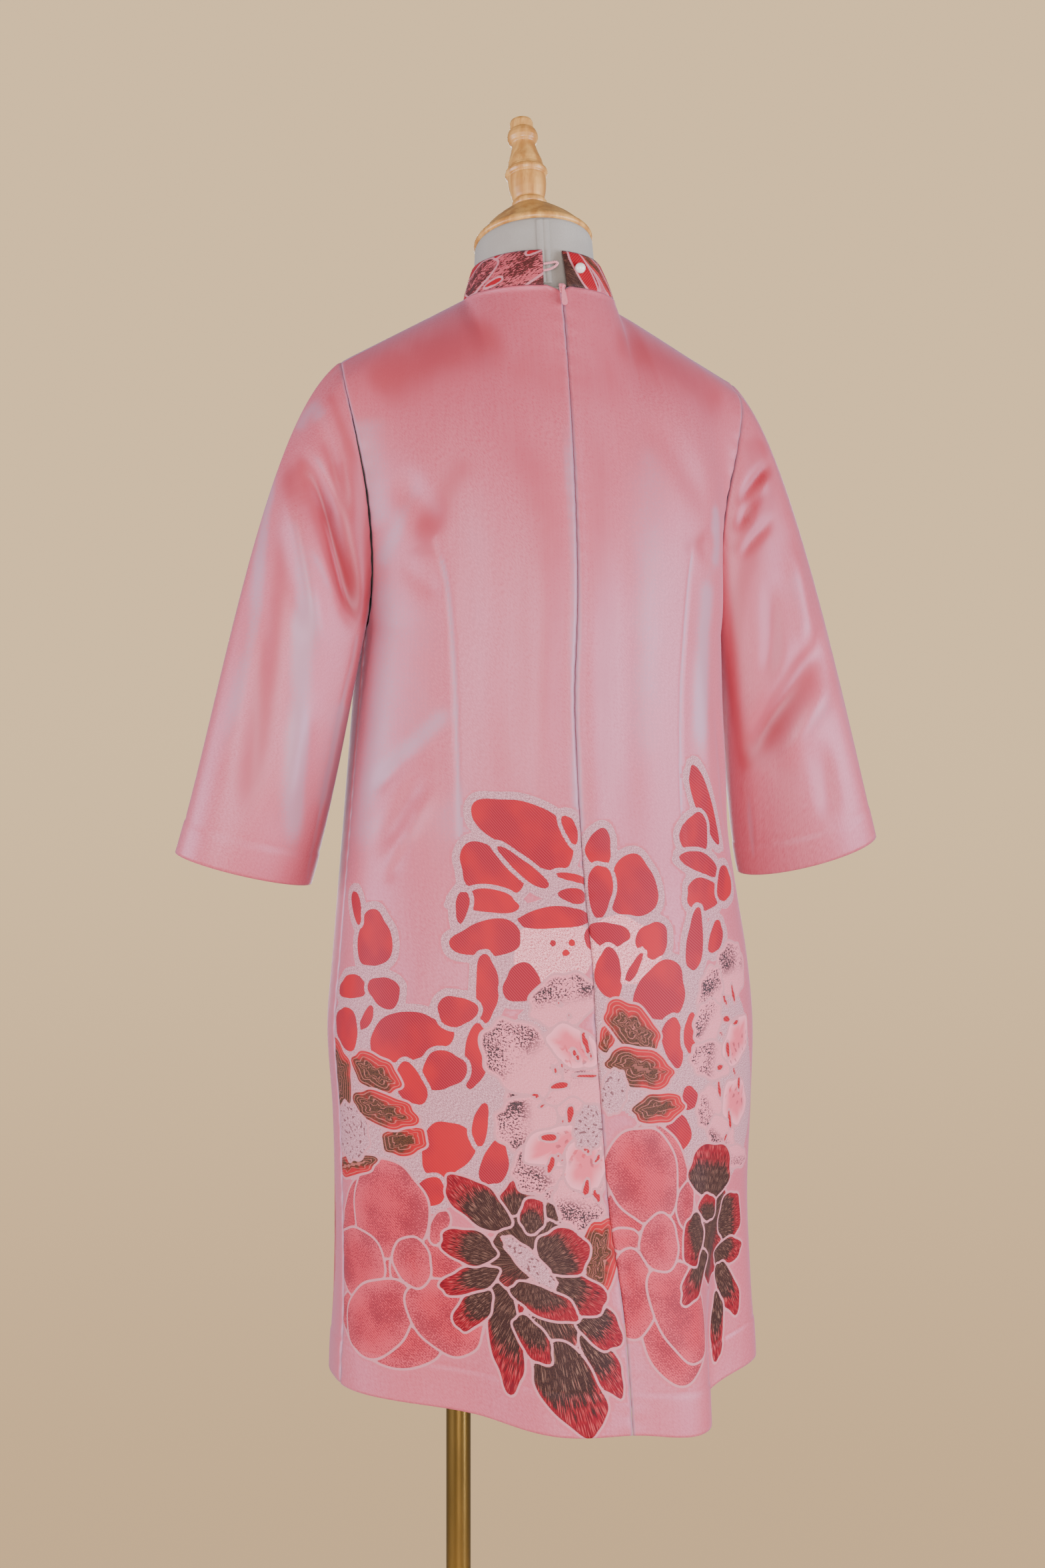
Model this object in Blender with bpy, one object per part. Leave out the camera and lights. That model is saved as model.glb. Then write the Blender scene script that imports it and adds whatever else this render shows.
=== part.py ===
"""A shift dress on a limbless dress form with a turned wooden neck cap, a brass pole and a round foot.

Metres, +Z up. The front faces -Y and the wearer's left is +X. The origin is on the floor, on the pole's axis.
The dress is a thin wall through named stations: quarter ovals from the hem to the armpits, then curves that
run from the armpit ring over the shoulders to the neckline and the shoulder seams.
"""

import math

import bmesh
import bpy
import numpy as np
from mathutils import Matrix, Vector

# The figure's centre line, seen from the pole's axis
BODY_X = -0.073

# Cloth
WALL = 0.0016
SEAM_GAP = 0.0004
SLEEVE_GAP = 0.0007
UNDERARM_LIFT = 0.0008
UNDERARM_RISE = 0.35
UNDERARM_TOP = 1.235

# Dress body. Heights are above the floor, depths from the centre line. The last column is the centre back
# seam's place to the wearer's left.
# height, half width, back depth, front depth, side seam's depth, centre, back seam
STATIONS = (
    (0.525, 0.181, 0.138, 0.150, 0.018, -0.003, -0.028),
    (0.620, 0.179, 0.134, 0.148, 0.018, -0.002, -0.024),
    (0.700, 0.179, 0.132, 0.147, 0.018, 0.000, -0.016),
    (0.775, 0.182, 0.133, 0.147, 0.018, 0.000, -0.010),
    (0.850, 0.185, 0.134, 0.146, 0.020, 0.002, -0.006),
    (0.905, 0.180, 0.131, 0.142, 0.022, 0.003, -0.005),
    (0.955, 0.174, 0.124, 0.139, 0.022, 0.005, -0.004),
    (1.010, 0.168, 0.114, 0.138, 0.020, 0.006, -0.004),
    (1.060, 0.1655, 0.108, 0.140, 0.018, 0.004, -0.001),
    (1.120, 0.1615, 0.107, 0.146, 0.014, 0.002, 0.003),
    (1.180, 0.158, 0.110, 0.150, 0.012, 0.000, 0.004),
)
HEM_HEIGHT = 0.525
ARMPIT_HEIGHT = 1.180
FULLNESS = 0.88

# Waves that grow from WAVE_TOP down to the hem. Bearings are degrees about the centre line: 0 is the
# wearer's left, 90 the back, 180 the wearer's right and 270 the front.
WAVE_TOP = 0.80
WAVE_GROWTH = 1.3
# bearing, half spread, reach
WAVES = (
    (42.0, 26.0, -0.024),
    (84.0, 22.0, 0.010),
    (124.0, 16.0, 0.014),
    (147.0, 12.0, -0.030),
    (172.0, 12.0, 0.006),
    (8.0, 14.0, 0.006),
    (212.0, 20.0, 0.012),
    (240.0, 16.0, -0.014),
    (272.0, 22.0, 0.010),
    (305.0, 18.0, -0.016),
    (335.0, 18.0, 0.010),
)

# How far the hem's edge sits above HEM_HEIGHT. The lift fades out at HEM_LIFT_TOP.
HEM_LIFT_TOP = 0.62
# bearing, lift
HEM_LIFTS = (
    (0.0, 0.026), (25.0, 0.020), (50.0, 0.012), (75.0, 0.0), (105.0, -0.005), (125.0, -0.011),
    (140.0, -0.003), (157.0, 0.020), (180.0, 0.030), (225.0, 0.022), (270.0, 0.016), (315.0, 0.020),
    (360.0, 0.026),
)

# Neckline, shoulder seam and armholes. NECK_SHARE is the neck point's place from centre to side.
NECK_SHARE = 0.36
NECK_POINT = (0.0665, -0.002, 1.466)
SHOULDER_TIP = (0.178, 0.006, 1.405)
BACK_NECK = (0.058, 1.470)
FRONT_NECK = (-0.076, 1.421)
NECK_OPENING = {1: 0.0100, -1: 0.0055}
NECK_OPENING_START = 0.962
ARMHOLE_TUCK = {1: 0.0, -1: 0.007}
# rise, out, depth, height
BACK_ARMHOLE = (
    (0.00, 0.1580, 0.012, 1.180),
    (0.10, 0.1578, 0.024, 1.192),
    (0.25, 0.1580, 0.034, 1.226),
    (0.48, 0.1640, 0.041, 1.288),
    (0.70, 0.1740, 0.040, 1.343),
    (0.88, 0.1800, 0.026, 1.386),
    (1.00, 0.1780, 0.006, 1.405),
)
FRONT_ARMHOLE = (
    (0.00, 0.1580, 0.012, 1.180),
    (0.10, 0.1565, -0.002, 1.192),
    (0.25, 0.1530, -0.022, 1.222),
    (0.48, 0.1520, -0.046, 1.284),
    (0.70, 0.1640, -0.047, 1.341),
    (0.88, 0.1755, -0.026, 1.385),
    (1.00, 0.1780, 0.006, 1.405),
)
FRONT_NECK_FALL = 1.3
RISES = (0.0, 0.09, 0.18, 0.28, 0.38, 0.48, 0.58, 0.68, 0.77, 0.85, 0.915, 0.965, 1.0)
AROUNDS = (*np.linspace(0, NECK_SHARE, 7), *np.linspace(NECK_SHARE, 1, 9)[1:])
LOWER_ROWS = 12
EDGE_PULL = 4.0
TOP_BLUR = 0.30
BLUR_STEPS = 9
START_REACH = 0.27
SHOULDER_REACH = 0.17
NECK_REACH = 0.12
BLADE_FULLNESS = 0.014
BUST_FULLNESS = 0.010
ROLL_START = 0.10
NECK_SLOPE = 66.0
SHOULDER_SLOPE = 8.0

# Sleeves, as half sizes of the cuff's oval
SLEEVE_ROWS = 13
CUFF_CENTRE = {1: (0.256, -0.014, 0.980), -1: (-0.260, -0.014, 0.988)}
CUFF_HALF_WIDTH = 0.064
CUFF_HALF_DEPTH = 0.038
CUFF_TURN = math.radians(18)
CUFF_SWING = -0.20
CUFF_TILT = {1: math.radians(15), -1: math.radians(20)}
CAP_REACH = {1: 0.25, -1: 0.20}
UNDERARM_REACH = 0.16
CUFF_REACH_TOP = 0.36
CUFF_REACH_LOW = 0.16
SLEEVE_LEAN = 0.22
CAP_LEAN = 0.80
SIDE_SWING = 0.34

# Collar
COLLAR_WALL = 0.0018
COLLAR_GAP = 0.0006
COLLAR_TOP_SIDE = (0.0565, -0.010, 1.497)
COLLAR_TOP_BACK = (0.047, 1.503)
COLLAR_TOP_FRONT = (-0.068, 1.452)
COLLAR_END = {1: 0.0125, -1: 0.0050}
COLLAR_COLUMNS = 32
COLLAR_ROWS = 3

# Zip, button and loop
TAPE_WIDTH = 0.024
TAPE_WALL = 0.0008
TAPE_BOTTOM = 1.045
TAPE_TOP_RISE = 0.93
TAPE_LOW_ROWS = 6
TAPE_HIGH_ROWS = 8
TAPE_SAG = 0.0012
SLIDER_SIZE = (0.0046, 0.0020, 0.0086)
SLIDER_BEVEL = 0.0006
SLIDER_RISE = 0.976
SEAT_RISE = 0.936
PIN_STAND = 0.0039
PIN_HEIGHT = 0.0006
PIN_RADIUS = 0.0005
LUG_OFFSET = 0.0017
LUG_WIDTH = 0.0010
EYE_WIDTH = 0.0017
EYE_INNER = 0.0008
EYE_OUTER = 0.0014
PULL_LENGTH = 0.0175
PULL_WIDTH = 0.0052
PULL_NECK_WIDTH = 0.0015
PULL_THICKNESS = 0.0010
PULL_WIDEST = 0.80
BUTTON_RADIUS = 0.0045
BUTTON_FLAT = 0.72
LOOP_REACH = 0.0125
LOOP_HALF_HEIGHT = 0.0032
LOOP_RADIUS = 0.0007
LOOP_STAND = 0.0028
LOOP_SHARE = 0.52
BUTTON_AROUND = 0.19
BUTTON_SHARE = 0.50

# The form under the dress
FORM_BOTTOM = 0.800
FORM_SEAM_DEPTH = 0.010
# height, half width, back depth, front depth
FORM_STATIONS = (
    (0.800, 0.140, 0.088, 0.100),
    (0.812, 0.156, 0.104, 0.114),
    (0.850, 0.164, 0.114, 0.118),
    (0.900, 0.163, 0.112, 0.116),
    (0.960, 0.150, 0.098, 0.108),
    (1.020, 0.134, 0.086, 0.100),
    (1.070, 0.130, 0.084, 0.104),
    (1.120, 0.138, 0.088, 0.118),
    (1.180, 0.149, 0.098, 0.138),
)
FORM_CLEAR_LOW = 0.0075
FORM_CLEAR_TOP = 0.0006
FORM_CLEAR_RISE = 0.12
ARM_PLATE_BULGE = 0.006
ARM_PLATE_WIDTH = 0.08
NECK_BASE = (0, -0.009, 1.4455)
# share of the neck's height, radius
NECK_LEVELS = ((0.22, 0.0575), (0.62, 0.0530), (1.0, 0.0515))
CAP_CENTRE = (0.002, -0.010, 1.5175)
CAP_TILT = math.radians(16.5)
# radius, height above the seat
CAP_PROFILE = (
    (0, 0), (0.0500, 0), (0.0520, 0.0015), (0.0520, 0.0040), (0.0505, 0.0065), (0.0478, 0.0090),
    (0.0455, 0.0115), (0.0410, 0.0165), (0.0370, 0.0205), (0.0300, 0.0265), (0.0230, 0.0320),
    (0.0180, 0.0352), (0.0165, 0.0368), (0, 0.0368),
)
FINIAL_PROFILE = (
    (0, 0), (0.0145, 0), (0.0155, 0.0020), (0.0155, 0.0046), (0.0142, 0.0070), (0.0145, 0.0100),
    (0.0160, 0.0170), (0.0171, 0.0280), (0.0184, 0.0325), (0.0184, 0.0350), (0.0176, 0.0372),
    (0.0160, 0.0398), (0.0150, 0.0455), (0.0126, 0.0525), (0.0109, 0.0590), (0.0109, 0.0625),
    (0.0127, 0.0655), (0.0135, 0.0702), (0.0128, 0.0750), (0.0104, 0.0782), (0.0102, 0.0845),
    (0.0092, 0.0866), (0, 0.0870),
)
TOUCH = 0.0003

# Pole, flange and foot
POLE_RADIUS = 0.0105
FOOT_RADIUS = 0.190
FOOT_THICKNESS = 0.012
SOCKET_RADIUS = 0.021
SOCKET_HEIGHT = 0.034
FLANGE_RADIUS = 0.034
FLANGE_HEIGHT = 0.016
FLANGE_LIP = 0.004
EDGE_ROUND = 0.002

PINK = (0.56, 0.13, 0.17)
BROCADE = (0.45, 0.05, 0.07)
LINEN = (0.56, 0.56, 0.57)
WOOD = (0.62, 0.40, 0.19)
BRASS = (0.72, 0.50, 0.20)
PEARL = (0.86, 0.83, 0.78)


def clear_scene():
    for obj in list(bpy.data.objects):
        bpy.data.objects.remove(obj, do_unlink=True)


def material(name, colour, roughness, metallic=0.0):
    made = bpy.data.materials.new(name)
    made.use_nodes = True
    shader = made.node_tree.nodes["Principled BSDF"]
    shader.inputs["Base Color"].default_value = (*colour, 1.0)
    shader.inputs["Roughness"].default_value = roughness
    shader.inputs["Metallic"].default_value = metallic
    return made


def hermite(start, end, lead, arrive, t):
    """A cubic curve from start to end with the given tangents."""
    t2 = t * t
    t3 = t2 * t
    return (
        (2 * t3 - 3 * t2 + 1) * start
        + (t3 - 2 * t2 + t) * lead
        + (3 * t2 - 2 * t3) * end
        + (t3 - t2) * arrive
    )


def through(rows, at):
    """The other columns of a table, read on a smooth curve at these values of its first column."""
    table = np.array(rows, float)
    keys, values = table[:, 0], table[:, 1:]
    slopes = np.gradient(values, keys, axis=0)
    at = np.clip(np.asarray(at, float), keys[0], keys[-1])
    i = np.clip(np.searchsorted(keys, at) - 1, 0, len(keys) - 2)
    step = (keys[i + 1] - keys[i])[..., None]
    t = (at - keys[i])[..., None] / step
    return hermite(values[i], values[i + 1], slopes[i] * step, slopes[i + 1] * step, t)


def ease(t):
    t = np.clip(t, 0.0, 1.0)
    return t * t * (3 - 2 * t)


def points_of(x, y, z):
    return np.stack(np.broadcast_arrays(x, y, z), axis=-1).astype(float)


def waved(points):
    """The points moved out and in by the skirt's waves, and the hem's edge lifted."""
    x, y, z = points[..., 0], points[..., 1], points[..., 2]
    bearing = np.degrees(np.arctan2(y, x)) % 360
    growth = ease((WAVE_TOP - z) / (WAVE_TOP - HEM_HEIGHT)) ** WAVE_GROWTH
    out = np.zeros_like(x)
    for centre, spread, reach in WAVES:
        off = (bearing - centre + 180) % 360 - 180
        out = out + reach * np.exp(-((off / spread) ** 2))
    lift = through(HEM_LIFTS, bearing)[..., 0] * ease((HEM_LIFT_TOP - z) / (HEM_LIFT_TOP - HEM_HEIGHT))
    ray = np.hypot(x, y)
    return points_of(x + x / ray * out * growth, y + y / ray * out * growth, z + lift)


def lower_body(side, back, around, height):
    """Points of the dress from the hem to the armpits. around runs from 0 at the centre to 1 at the side."""
    half_width, back_depth, front_depth, side_depth, centre, back_seam = np.moveaxis(
        through(STATIONS, height), -1, 0
    )
    start = np.arcsin(side * back_seam / half_width) if back else 0.0
    turn = start + (math.pi / 2 - start) * around
    depth = back_depth if back else -front_depth
    y = side_depth + (depth - side_depth) * np.clip(np.cos(turn), 0, 1) ** FULLNESS
    return waved(points_of(centre + side * half_width * np.sin(turn), y, height))


def top_line(side, back, around):
    """The neckline from the centre to the neck point, then the shoulder seam. It can be read past both ends."""
    around = np.asarray(around, float)
    flip = np.where(around < 0, -1.0, 1.0)
    along = np.abs(around)
    turn = np.clip(along / NECK_SHARE, 0, 1) * math.pi / 2
    neck_x, neck_y, neck_z = NECK_POINT
    depth, height = BACK_NECK if back else FRONT_NECK
    fall = np.cos(turn) ** (1.0 if back else FRONT_NECK_FALL)
    neckline = points_of(
        neck_x * np.sin(turn), neck_y + (depth - neck_y) * np.cos(turn), neck_z + (height - neck_z) * fall
    )
    share = np.clip((along - NECK_SHARE) / (1 - NECK_SHARE), 0, None)[..., None]
    seam = (np.array(SHOULDER_TIP) - np.array(NECK_POINT)) * share
    line = neckline + seam
    line[..., 0] *= side * flip
    return line


def blurred_top(side, back, around, blur):
    """The top line averaged over a share of its length, so that its corner fades away below it."""
    offsets = np.linspace(-0.5, 0.5, BLUR_STEPS)
    return sum(top_line(side, back, around + blur * offset) for offset in offsets) / BLUR_STEPS


def armhole(side, back, rise):
    edge = through(BACK_ARMHOLE if back else FRONT_ARMHOLE, rise)
    if back:
        edge[..., 0] -= ARMHOLE_TUCK[side] * np.sin(math.pi * np.clip(rise, 0, 1)) ** 2
    edge[..., 0] *= side
    return edge


def yoke(side, back, around, rise):
    """Points of the dress from the armpit ring (rise 0) to the neckline and shoulder seams (rise 1)."""
    around, rise = np.broadcast_arrays(np.asarray(around, float), np.asarray(rise, float))

    def column(share):
        base = lower_body(side, back, share, np.full_like(rise, ARMPIT_HEIGHT))
        below = lower_body(side, back, share, np.full_like(rise, ARMPIT_HEIGHT - 0.01))
        lead = (base - below) / 0.01 * START_REACH
        end = blurred_top(side, back, share, TOP_BLUR * (1 - rise) ** 0.7)
        roll = ease((share - ROLL_START) / NECK_SHARE)
        slope = np.radians(NECK_SLOPE + (SHOULDER_SLOPE - NECK_SLOPE) * roll)
        reach = NECK_REACH + (SHOULDER_REACH - NECK_REACH) * roll
        forward = -1.0 if back else 1.0
        arrive = points_of(0 * share, forward * np.cos(slope) * reach, np.sin(slope) * reach)
        return hermite(base, end, lead, arrive, rise[..., None])

    points = column(around)
    points += (around**EDGE_PULL)[..., None] * (armhole(side, back, rise) - column(np.ones_like(around)))
    swell = np.sin(math.pi * rise) ** 2 * np.sin(math.pi * np.clip(around * 0.9, 0, 1)) ** 2
    points[..., 1] += swell * (BLADE_FULLNESS if back else -BUST_FULLNESS)
    return points


def opened_neck(points, side, around, rise):
    """The centre back edge drawn aside over the last stretch below the neckline."""
    opening = NECK_OPENING[side] * ease((rise - NECK_OPENING_START) / (1 - NECK_OPENING_START))
    points[..., 0] += side * opening * (1 - around) ** 6
    return points


def panel_grid(side, back):
    """Rows from the hem to the top, columns from the centre to the side."""
    around = np.array(AROUNDS)[None, :]
    heights = np.linspace(HEM_HEIGHT, ARMPIT_HEIGHT, LOWER_ROWS + 1)[:-1, None]
    rises = np.array(RISES)[:, None]
    low = lower_body(side, back, around + 0 * heights, heights + 0 * around)
    high = yoke(side, back, around, rises)
    if back:
        high = opened_neck(high, side, around, rises)
    return np.concatenate([low, high])


def outward(points, ring=False):
    """Unit normals of a grid of points. On a ring the last column repeats the first."""
    across = np.gradient(points, axis=1)
    if ring:
        across[:, 0] = across[:, -1] = points[:, 1] - points[:, -2]
    return unit(np.cross(across, np.gradient(points, axis=0)))


def unit(vectors):
    return vectors / np.linalg.norm(vectors, axis=-1, keepdims=True)


def yoke_normals(points, side, back):
    """Outward unit normals of a quarter. The shoulder seam's have no Y part, so that walls meet there."""
    normals = outward(points) * (-side if back else side)
    normals[-1, np.array(AROUNDS) >= NECK_SHARE, 1] = 0
    return unit(normals)


def drawn_in(points, sides, amount):
    """The grid with its outermost points on the named sides moved towards the next ones."""
    moved = points.copy()
    picks = {
        "first": (np.s_[:, 0], np.s_[:, 1]),
        "last": (np.s_[:, -1], np.s_[:, -2]),
        "top": (np.s_[-1], np.s_[-2]),
    }
    for name in sides:
        edge, beside = picks[name]
        step = points[beside] - points[edge]
        moved[edge] += unit(step) * amount
    return moved


def finished(name, bm):
    mesh = bpy.data.meshes.new(name)
    bm.to_mesh(mesh)
    bm.free()
    return mesh


def place(name, data, finish, parent, location=(0, 0, 0)):
    obj = bpy.data.objects.new(name, data)
    bpy.context.scene.collection.objects.link(obj)
    obj.data.materials.append(finish)
    if isinstance(data, bpy.types.Mesh):
        data.shade_smooth()
    obj.parent = parent
    obj.location = location
    return obj


def add_cloth(name, outer, normals, finish, parent, wall=WALL):
    """A cloth panel: a grid of outer points, with a second skin the cloth's thickness inside them."""
    rows, columns = outer.shape[:2]
    inner = (outer - normals * wall).reshape(-1, 3)
    bm = bmesh.new()
    bmesh.ops.create_grid(bm, x_segments=columns - 1, y_segments=rows - 1, size=1)
    number = bm.verts.layers.int.new("number")
    for index, (vert, point) in enumerate(zip(bm.verts, outer.reshape(-1, 3))):
        vert.co = point
        vert[number] = index
    bmesh.ops.remove_doubles(bm, verts=bm.verts[:], dist=1e-5)
    made = bmesh.ops.extrude_face_region(bm, geom=bm.faces[:] + bm.edges[:] + bm.verts[:], use_keep_orig=True)
    for item in made["geom"]:
        if isinstance(item, bmesh.types.BMVert):
            item.co = inner[item[number]]
    bmesh.ops.recalc_face_normals(bm, faces=bm.faces[:])
    return place(name, finished(name, bm), finish, parent)


def add_body_panels(finish, parent):
    grids, normals = {}, {}
    for side in (1, -1):
        for back in (True, False):
            grids[side, back] = panel_grid(side, back)
            normals[side, back] = yoke_normals(grids[side, back], side, back)

    def share(one, other, part):
        """The two panels' normals at their common edge, averaged."""
        normals[one][part] = normals[other][part] = unit(normals[one][part] + normals[other][part])

    for side in (1, -1):
        share((side, True), (side, False), np.s_[: LOWER_ROWS + 1, -1])
    for back in (True, False):
        share((1, back), (-1, back), np.s_[:, 0])

    def both_sides(parts):
        return np.concatenate([parts[-1, False][:, :0:-1], parts[1, False]], axis=1)

    panels = (
        ("back_left", grids[1, True], normals[1, True]),
        ("back_right", grids[-1, True], normals[-1, True]),
        ("front", both_sides(grids), both_sides(normals)),
    )
    for name, grid, facing in panels:
        outer = drawn_in(grid, ("first", "last", "top"), SEAM_GAP / 2)
        add_cloth(name, outer, facing, finish, parent)


def armhole_loop(side):
    """The armhole, from the shoulder tip down the back to the armpit and up the front, off the panels."""
    rises = np.array(RISES)
    loop, away = [], []
    for back in (True, False):
        edge = yoke(side, back, 1.0, rises)
        inside = yoke(side, back, 0.97, rises)
        step = edge - inside
        order = slice(None, None, -1) if back else slice(1, None)
        loop.append(edge[order])
        away.append(unit(step)[order])
    loop, away = np.concatenate(loop), np.concatenate(away)
    low = ease((UNDERARM_TOP - loop[:, 2]) / (UNDERARM_TOP - ARMPIT_HEIGHT))[:, None]
    lift = np.array([side, 0.0, UNDERARM_RISE]) * UNDERARM_LIFT
    return loop + away * SLEEVE_GAP * (1 - low) + lift * low


def cuff_frame(side):
    """The cuff's long and short directions, and the way the sleeve runs through it."""
    down = Vector((side * math.sin(CUFF_TILT[side]), CUFF_SWING, -math.cos(CUFF_TILT[side]))).normalized()
    wide = Vector((side * math.cos(CUFF_TURN), math.sin(CUFF_TURN), 0))
    wide = (wide - down * wide.dot(down)).normalized()
    return np.array(wide), np.array(down.cross(wide)) * side, np.array(down)


def sleeve_grid(side):
    loop = armhole_loop(side)
    count = len(loop)
    angle = np.linspace(0, 2 * math.pi, count)
    outer = np.cos(angle)[:, None]
    rear = np.sin(angle)[:, None]
    wide, deep, down = cuff_frame(side)
    rear_way = deep if deep[1] > 0 else -deep
    cuff = (
        np.array(CUFF_CENTRE[side])
        + CUFF_HALF_WIDTH * outer * wide
        + CUFF_HALF_DEPTH * rear * rear_way
    )
    top = (1 + outer) / 2
    reach = UNDERARM_REACH + (CAP_REACH[side] - UNDERARM_REACH) * top**2
    out = SLEEVE_LEAN + (CAP_LEAN - SLEEVE_LEAN) * top**1.5
    swing = SIDE_SWING * rear * (1 - top * 0.6)
    lead = np.concatenate([side * out, swing, -np.sqrt(1 - out**2)], axis=1) * reach
    arrive = down * (CUFF_REACH_LOW + (CUFF_REACH_TOP - CUFF_REACH_LOW) * top)
    t = np.linspace(0, 1, SLEEVE_ROWS + 1)[:, None, None]
    grid = hermite(loop[None], cuff[None], lead[None], arrive[None], t)
    grid[:, -1] = grid[:, 0]
    return grid


def add_sleeves(finish, parent):
    for name, side in (("sleeve_left", 1), ("sleeve_right", -1)):
        grid = sleeve_grid(side)
        add_cloth(name, grid, -side * outward(grid, ring=True), finish, parent)


def collar_edge(side, back, around, top):
    """A point of the collar's lower or upper edge, from the centre (0) to the side of the neck (1)."""
    turn = around * math.pi / 2
    side_x, side_y, side_z = COLLAR_TOP_SIDE if top else NECK_POINT
    if top:
        depth, height = COLLAR_TOP_BACK if back else COLLAR_TOP_FRONT
    else:
        depth, height = BACK_NECK if back else FRONT_NECK
    fall = np.cos(turn) ** (1.0 if back else FRONT_NECK_FALL)
    x = side * side_x * np.sin(turn)
    y = side_y + (depth - side_y) * np.cos(turn)
    return points_of(x, y, side_z + (height - side_z) * fall)


def collar_grid():
    """Columns from the left centre back end, round the front, to the right one."""
    quarter = COLLAR_COLUMNS // 4
    runs = []
    for side, back in ((1, True), (1, False), (-1, False), (-1, True)):
        start = math.asin(COLLAR_END[side] / COLLAR_TOP_SIDE[0]) / (math.pi / 2) if back else 0.0
        around = np.linspace(start, 1, quarter + 1)
        around = around if (side > 0) == back else around[::-1]
        if runs:
            around = around[1:]
        runs.append((collar_edge(side, back, around, False), collar_edge(side, back, around, True)))
    low = np.concatenate([run[0] for run in runs])
    high = np.concatenate([run[1] for run in runs])
    low = low + unit(high - low) * COLLAR_GAP
    t = np.linspace(0, 1, COLLAR_ROWS + 1)[:, None, None]
    return low[None] + (high - low)[None] * t


def add_collar(finish, parent):
    grid = collar_grid()
    add_cloth("collar", grid, -outward(grid), finish, parent, COLLAR_WALL)


def tape_grid():
    """The zip tape's outer face, just inside the two back panels."""
    low = np.linspace(TAPE_BOTTOM, ARMPIT_HEIGHT, TAPE_LOW_ROWS + 1)[:-1]
    rises = np.linspace(0, TAPE_TOP_RISE, TAPE_HIGH_ROWS)
    seam_low = lower_body(1, True, np.zeros(len(low)), low)
    seam = np.concatenate([seam_low, yoke(1, True, np.zeros(len(rises)), rises)])
    run = np.gradient(seam, axis=0)
    inward = unit(np.stack([0 * run[:, 0], -run[:, 2], run[:, 1]], axis=1))
    across = np.linspace(-0.5, 0.5, 4)
    inset = WALL + TOUCH * 2 + TAPE_SAG * (2 * across) ** 2
    grid = seam[:, None] + inward[:, None] * inset[None, :, None]
    grid[..., 0] += across * TAPE_WIDTH
    return grid


def add_zip(finish, metal, parent):
    grid = tape_grid()
    add_cloth("zip_tape", grid, -outward(grid), finish, parent, TAPE_WALL)
    top, below = yoke(1, True, np.zeros(2), np.array([SLIDER_RISE, SEAT_RISE]))
    seat = bpy.data.objects.new("zip_seat", None)
    bpy.context.scene.collection.objects.link(seat)
    seat.parent = parent
    seat.location = top
    seat.rotation_euler.x = math.atan2(below[1] - top[1], top[2] - below[2])
    add_slider(metal, seat)
    add_pull(metal, seat)


def block(name, size, middle, bevel=0.0):
    bm = bmesh.new()
    bmesh.ops.create_cube(bm, size=1, matrix=Matrix.Translation(middle) @ Matrix.Diagonal((*size, 1)))
    if bevel:
        bmesh.ops.bevel(bm, geom=bm.edges[:], offset=bevel, affect="EDGES", segments=2, profile=0.5)
    return finished(name, bm)


def add_slider(finish, seat):
    """The slider's body with two lugs and the pin that carries the pull, united into one solid."""
    depth = SLIDER_SIZE[1]
    body = block("zip_slider", SLIDER_SIZE, (0, TOUCH + depth / 2, 0), SLIDER_BEVEL)
    slider = place("zip_slider", body, finish, seat)
    lug_start = TOUCH + depth / 2
    lug_end = PIN_STAND + PIN_RADIUS * 1.6
    for side in (1, -1):
        middle = (side * LUG_OFFSET, (lug_start + lug_end) / 2, PIN_HEIGHT)
        lug = block("lug", (LUG_WIDTH, lug_end - lug_start, LUG_WIDTH * 2), middle)
        join(slider, place("lug", lug, finish, seat))
    bm = bmesh.new()
    bmesh.ops.create_cone(
        bm,
        cap_ends=True,
        segments=12,
        radius1=PIN_RADIUS,
        radius2=PIN_RADIUS,
        depth=LUG_OFFSET * 2,
        matrix=Matrix.Translation((0, PIN_STAND, PIN_HEIGHT)) @ Matrix.Rotation(math.pi / 2, 4, "Y"),
    )
    join(slider, place("pin", finished("pin", bm), finish, seat))


def add_pull(finish, seat):
    """A drop-shaped tab with a knuckle at its top. The knuckle's axis is X through the object's origin."""
    steps = 16
    bm = bmesh.new()
    ring = []
    for radius in (EYE_INNER, EYE_OUTER):
        turns = [2 * math.pi * k / steps for k in range(steps)]
        ring.append(
            [bm.verts.new((-EYE_WIDTH / 2, radius * math.cos(a), radius * math.sin(a))) for a in turns]
        )
    inner, outer = ring
    for k in range(steps):
        following = (k + 1) % steps
        bm.faces.new((inner[k], outer[k], outer[following], inner[following]))
    pull_out(bm, Vector((EYE_WIDTH, 0, 0)))
    hinge = (0, PIN_STAND, PIN_HEIGHT)
    pull = place("zip_pull", finished("zip_pull", bm), finish, seat, hinge)

    bm = bmesh.new()
    outline = []
    for share in (0.0, 0.2, 0.4, 0.6, PULL_WIDEST):
        wide = PULL_NECK_WIDTH + (PULL_WIDTH - PULL_NECK_WIDTH) * math.sin(share / PULL_WIDEST * math.pi / 2)
        outline.append((wide / 2, -share))
    for turn in (30, 60):
        angle = math.radians(turn)
        low = -PULL_WIDEST - (1 - PULL_WIDEST) * math.sin(angle)
        outline.append((PULL_WIDTH / 2 * math.cos(angle), low))
    outline.append((0, -1.0))
    outline += [(-x, z) for x, z in outline[-2::-1]]
    top = -EYE_INNER - TOUCH
    verts = [bm.verts.new((x, -PULL_THICKNESS / 2, top + z * PULL_LENGTH)) for x, z in outline]
    bm.faces.new(verts)
    pull_out(bm, Vector((0, PULL_THICKNESS, 0)))
    helper = place("tab", finished("tab", bm), finish, seat, hinge)
    join(pull, helper)


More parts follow.
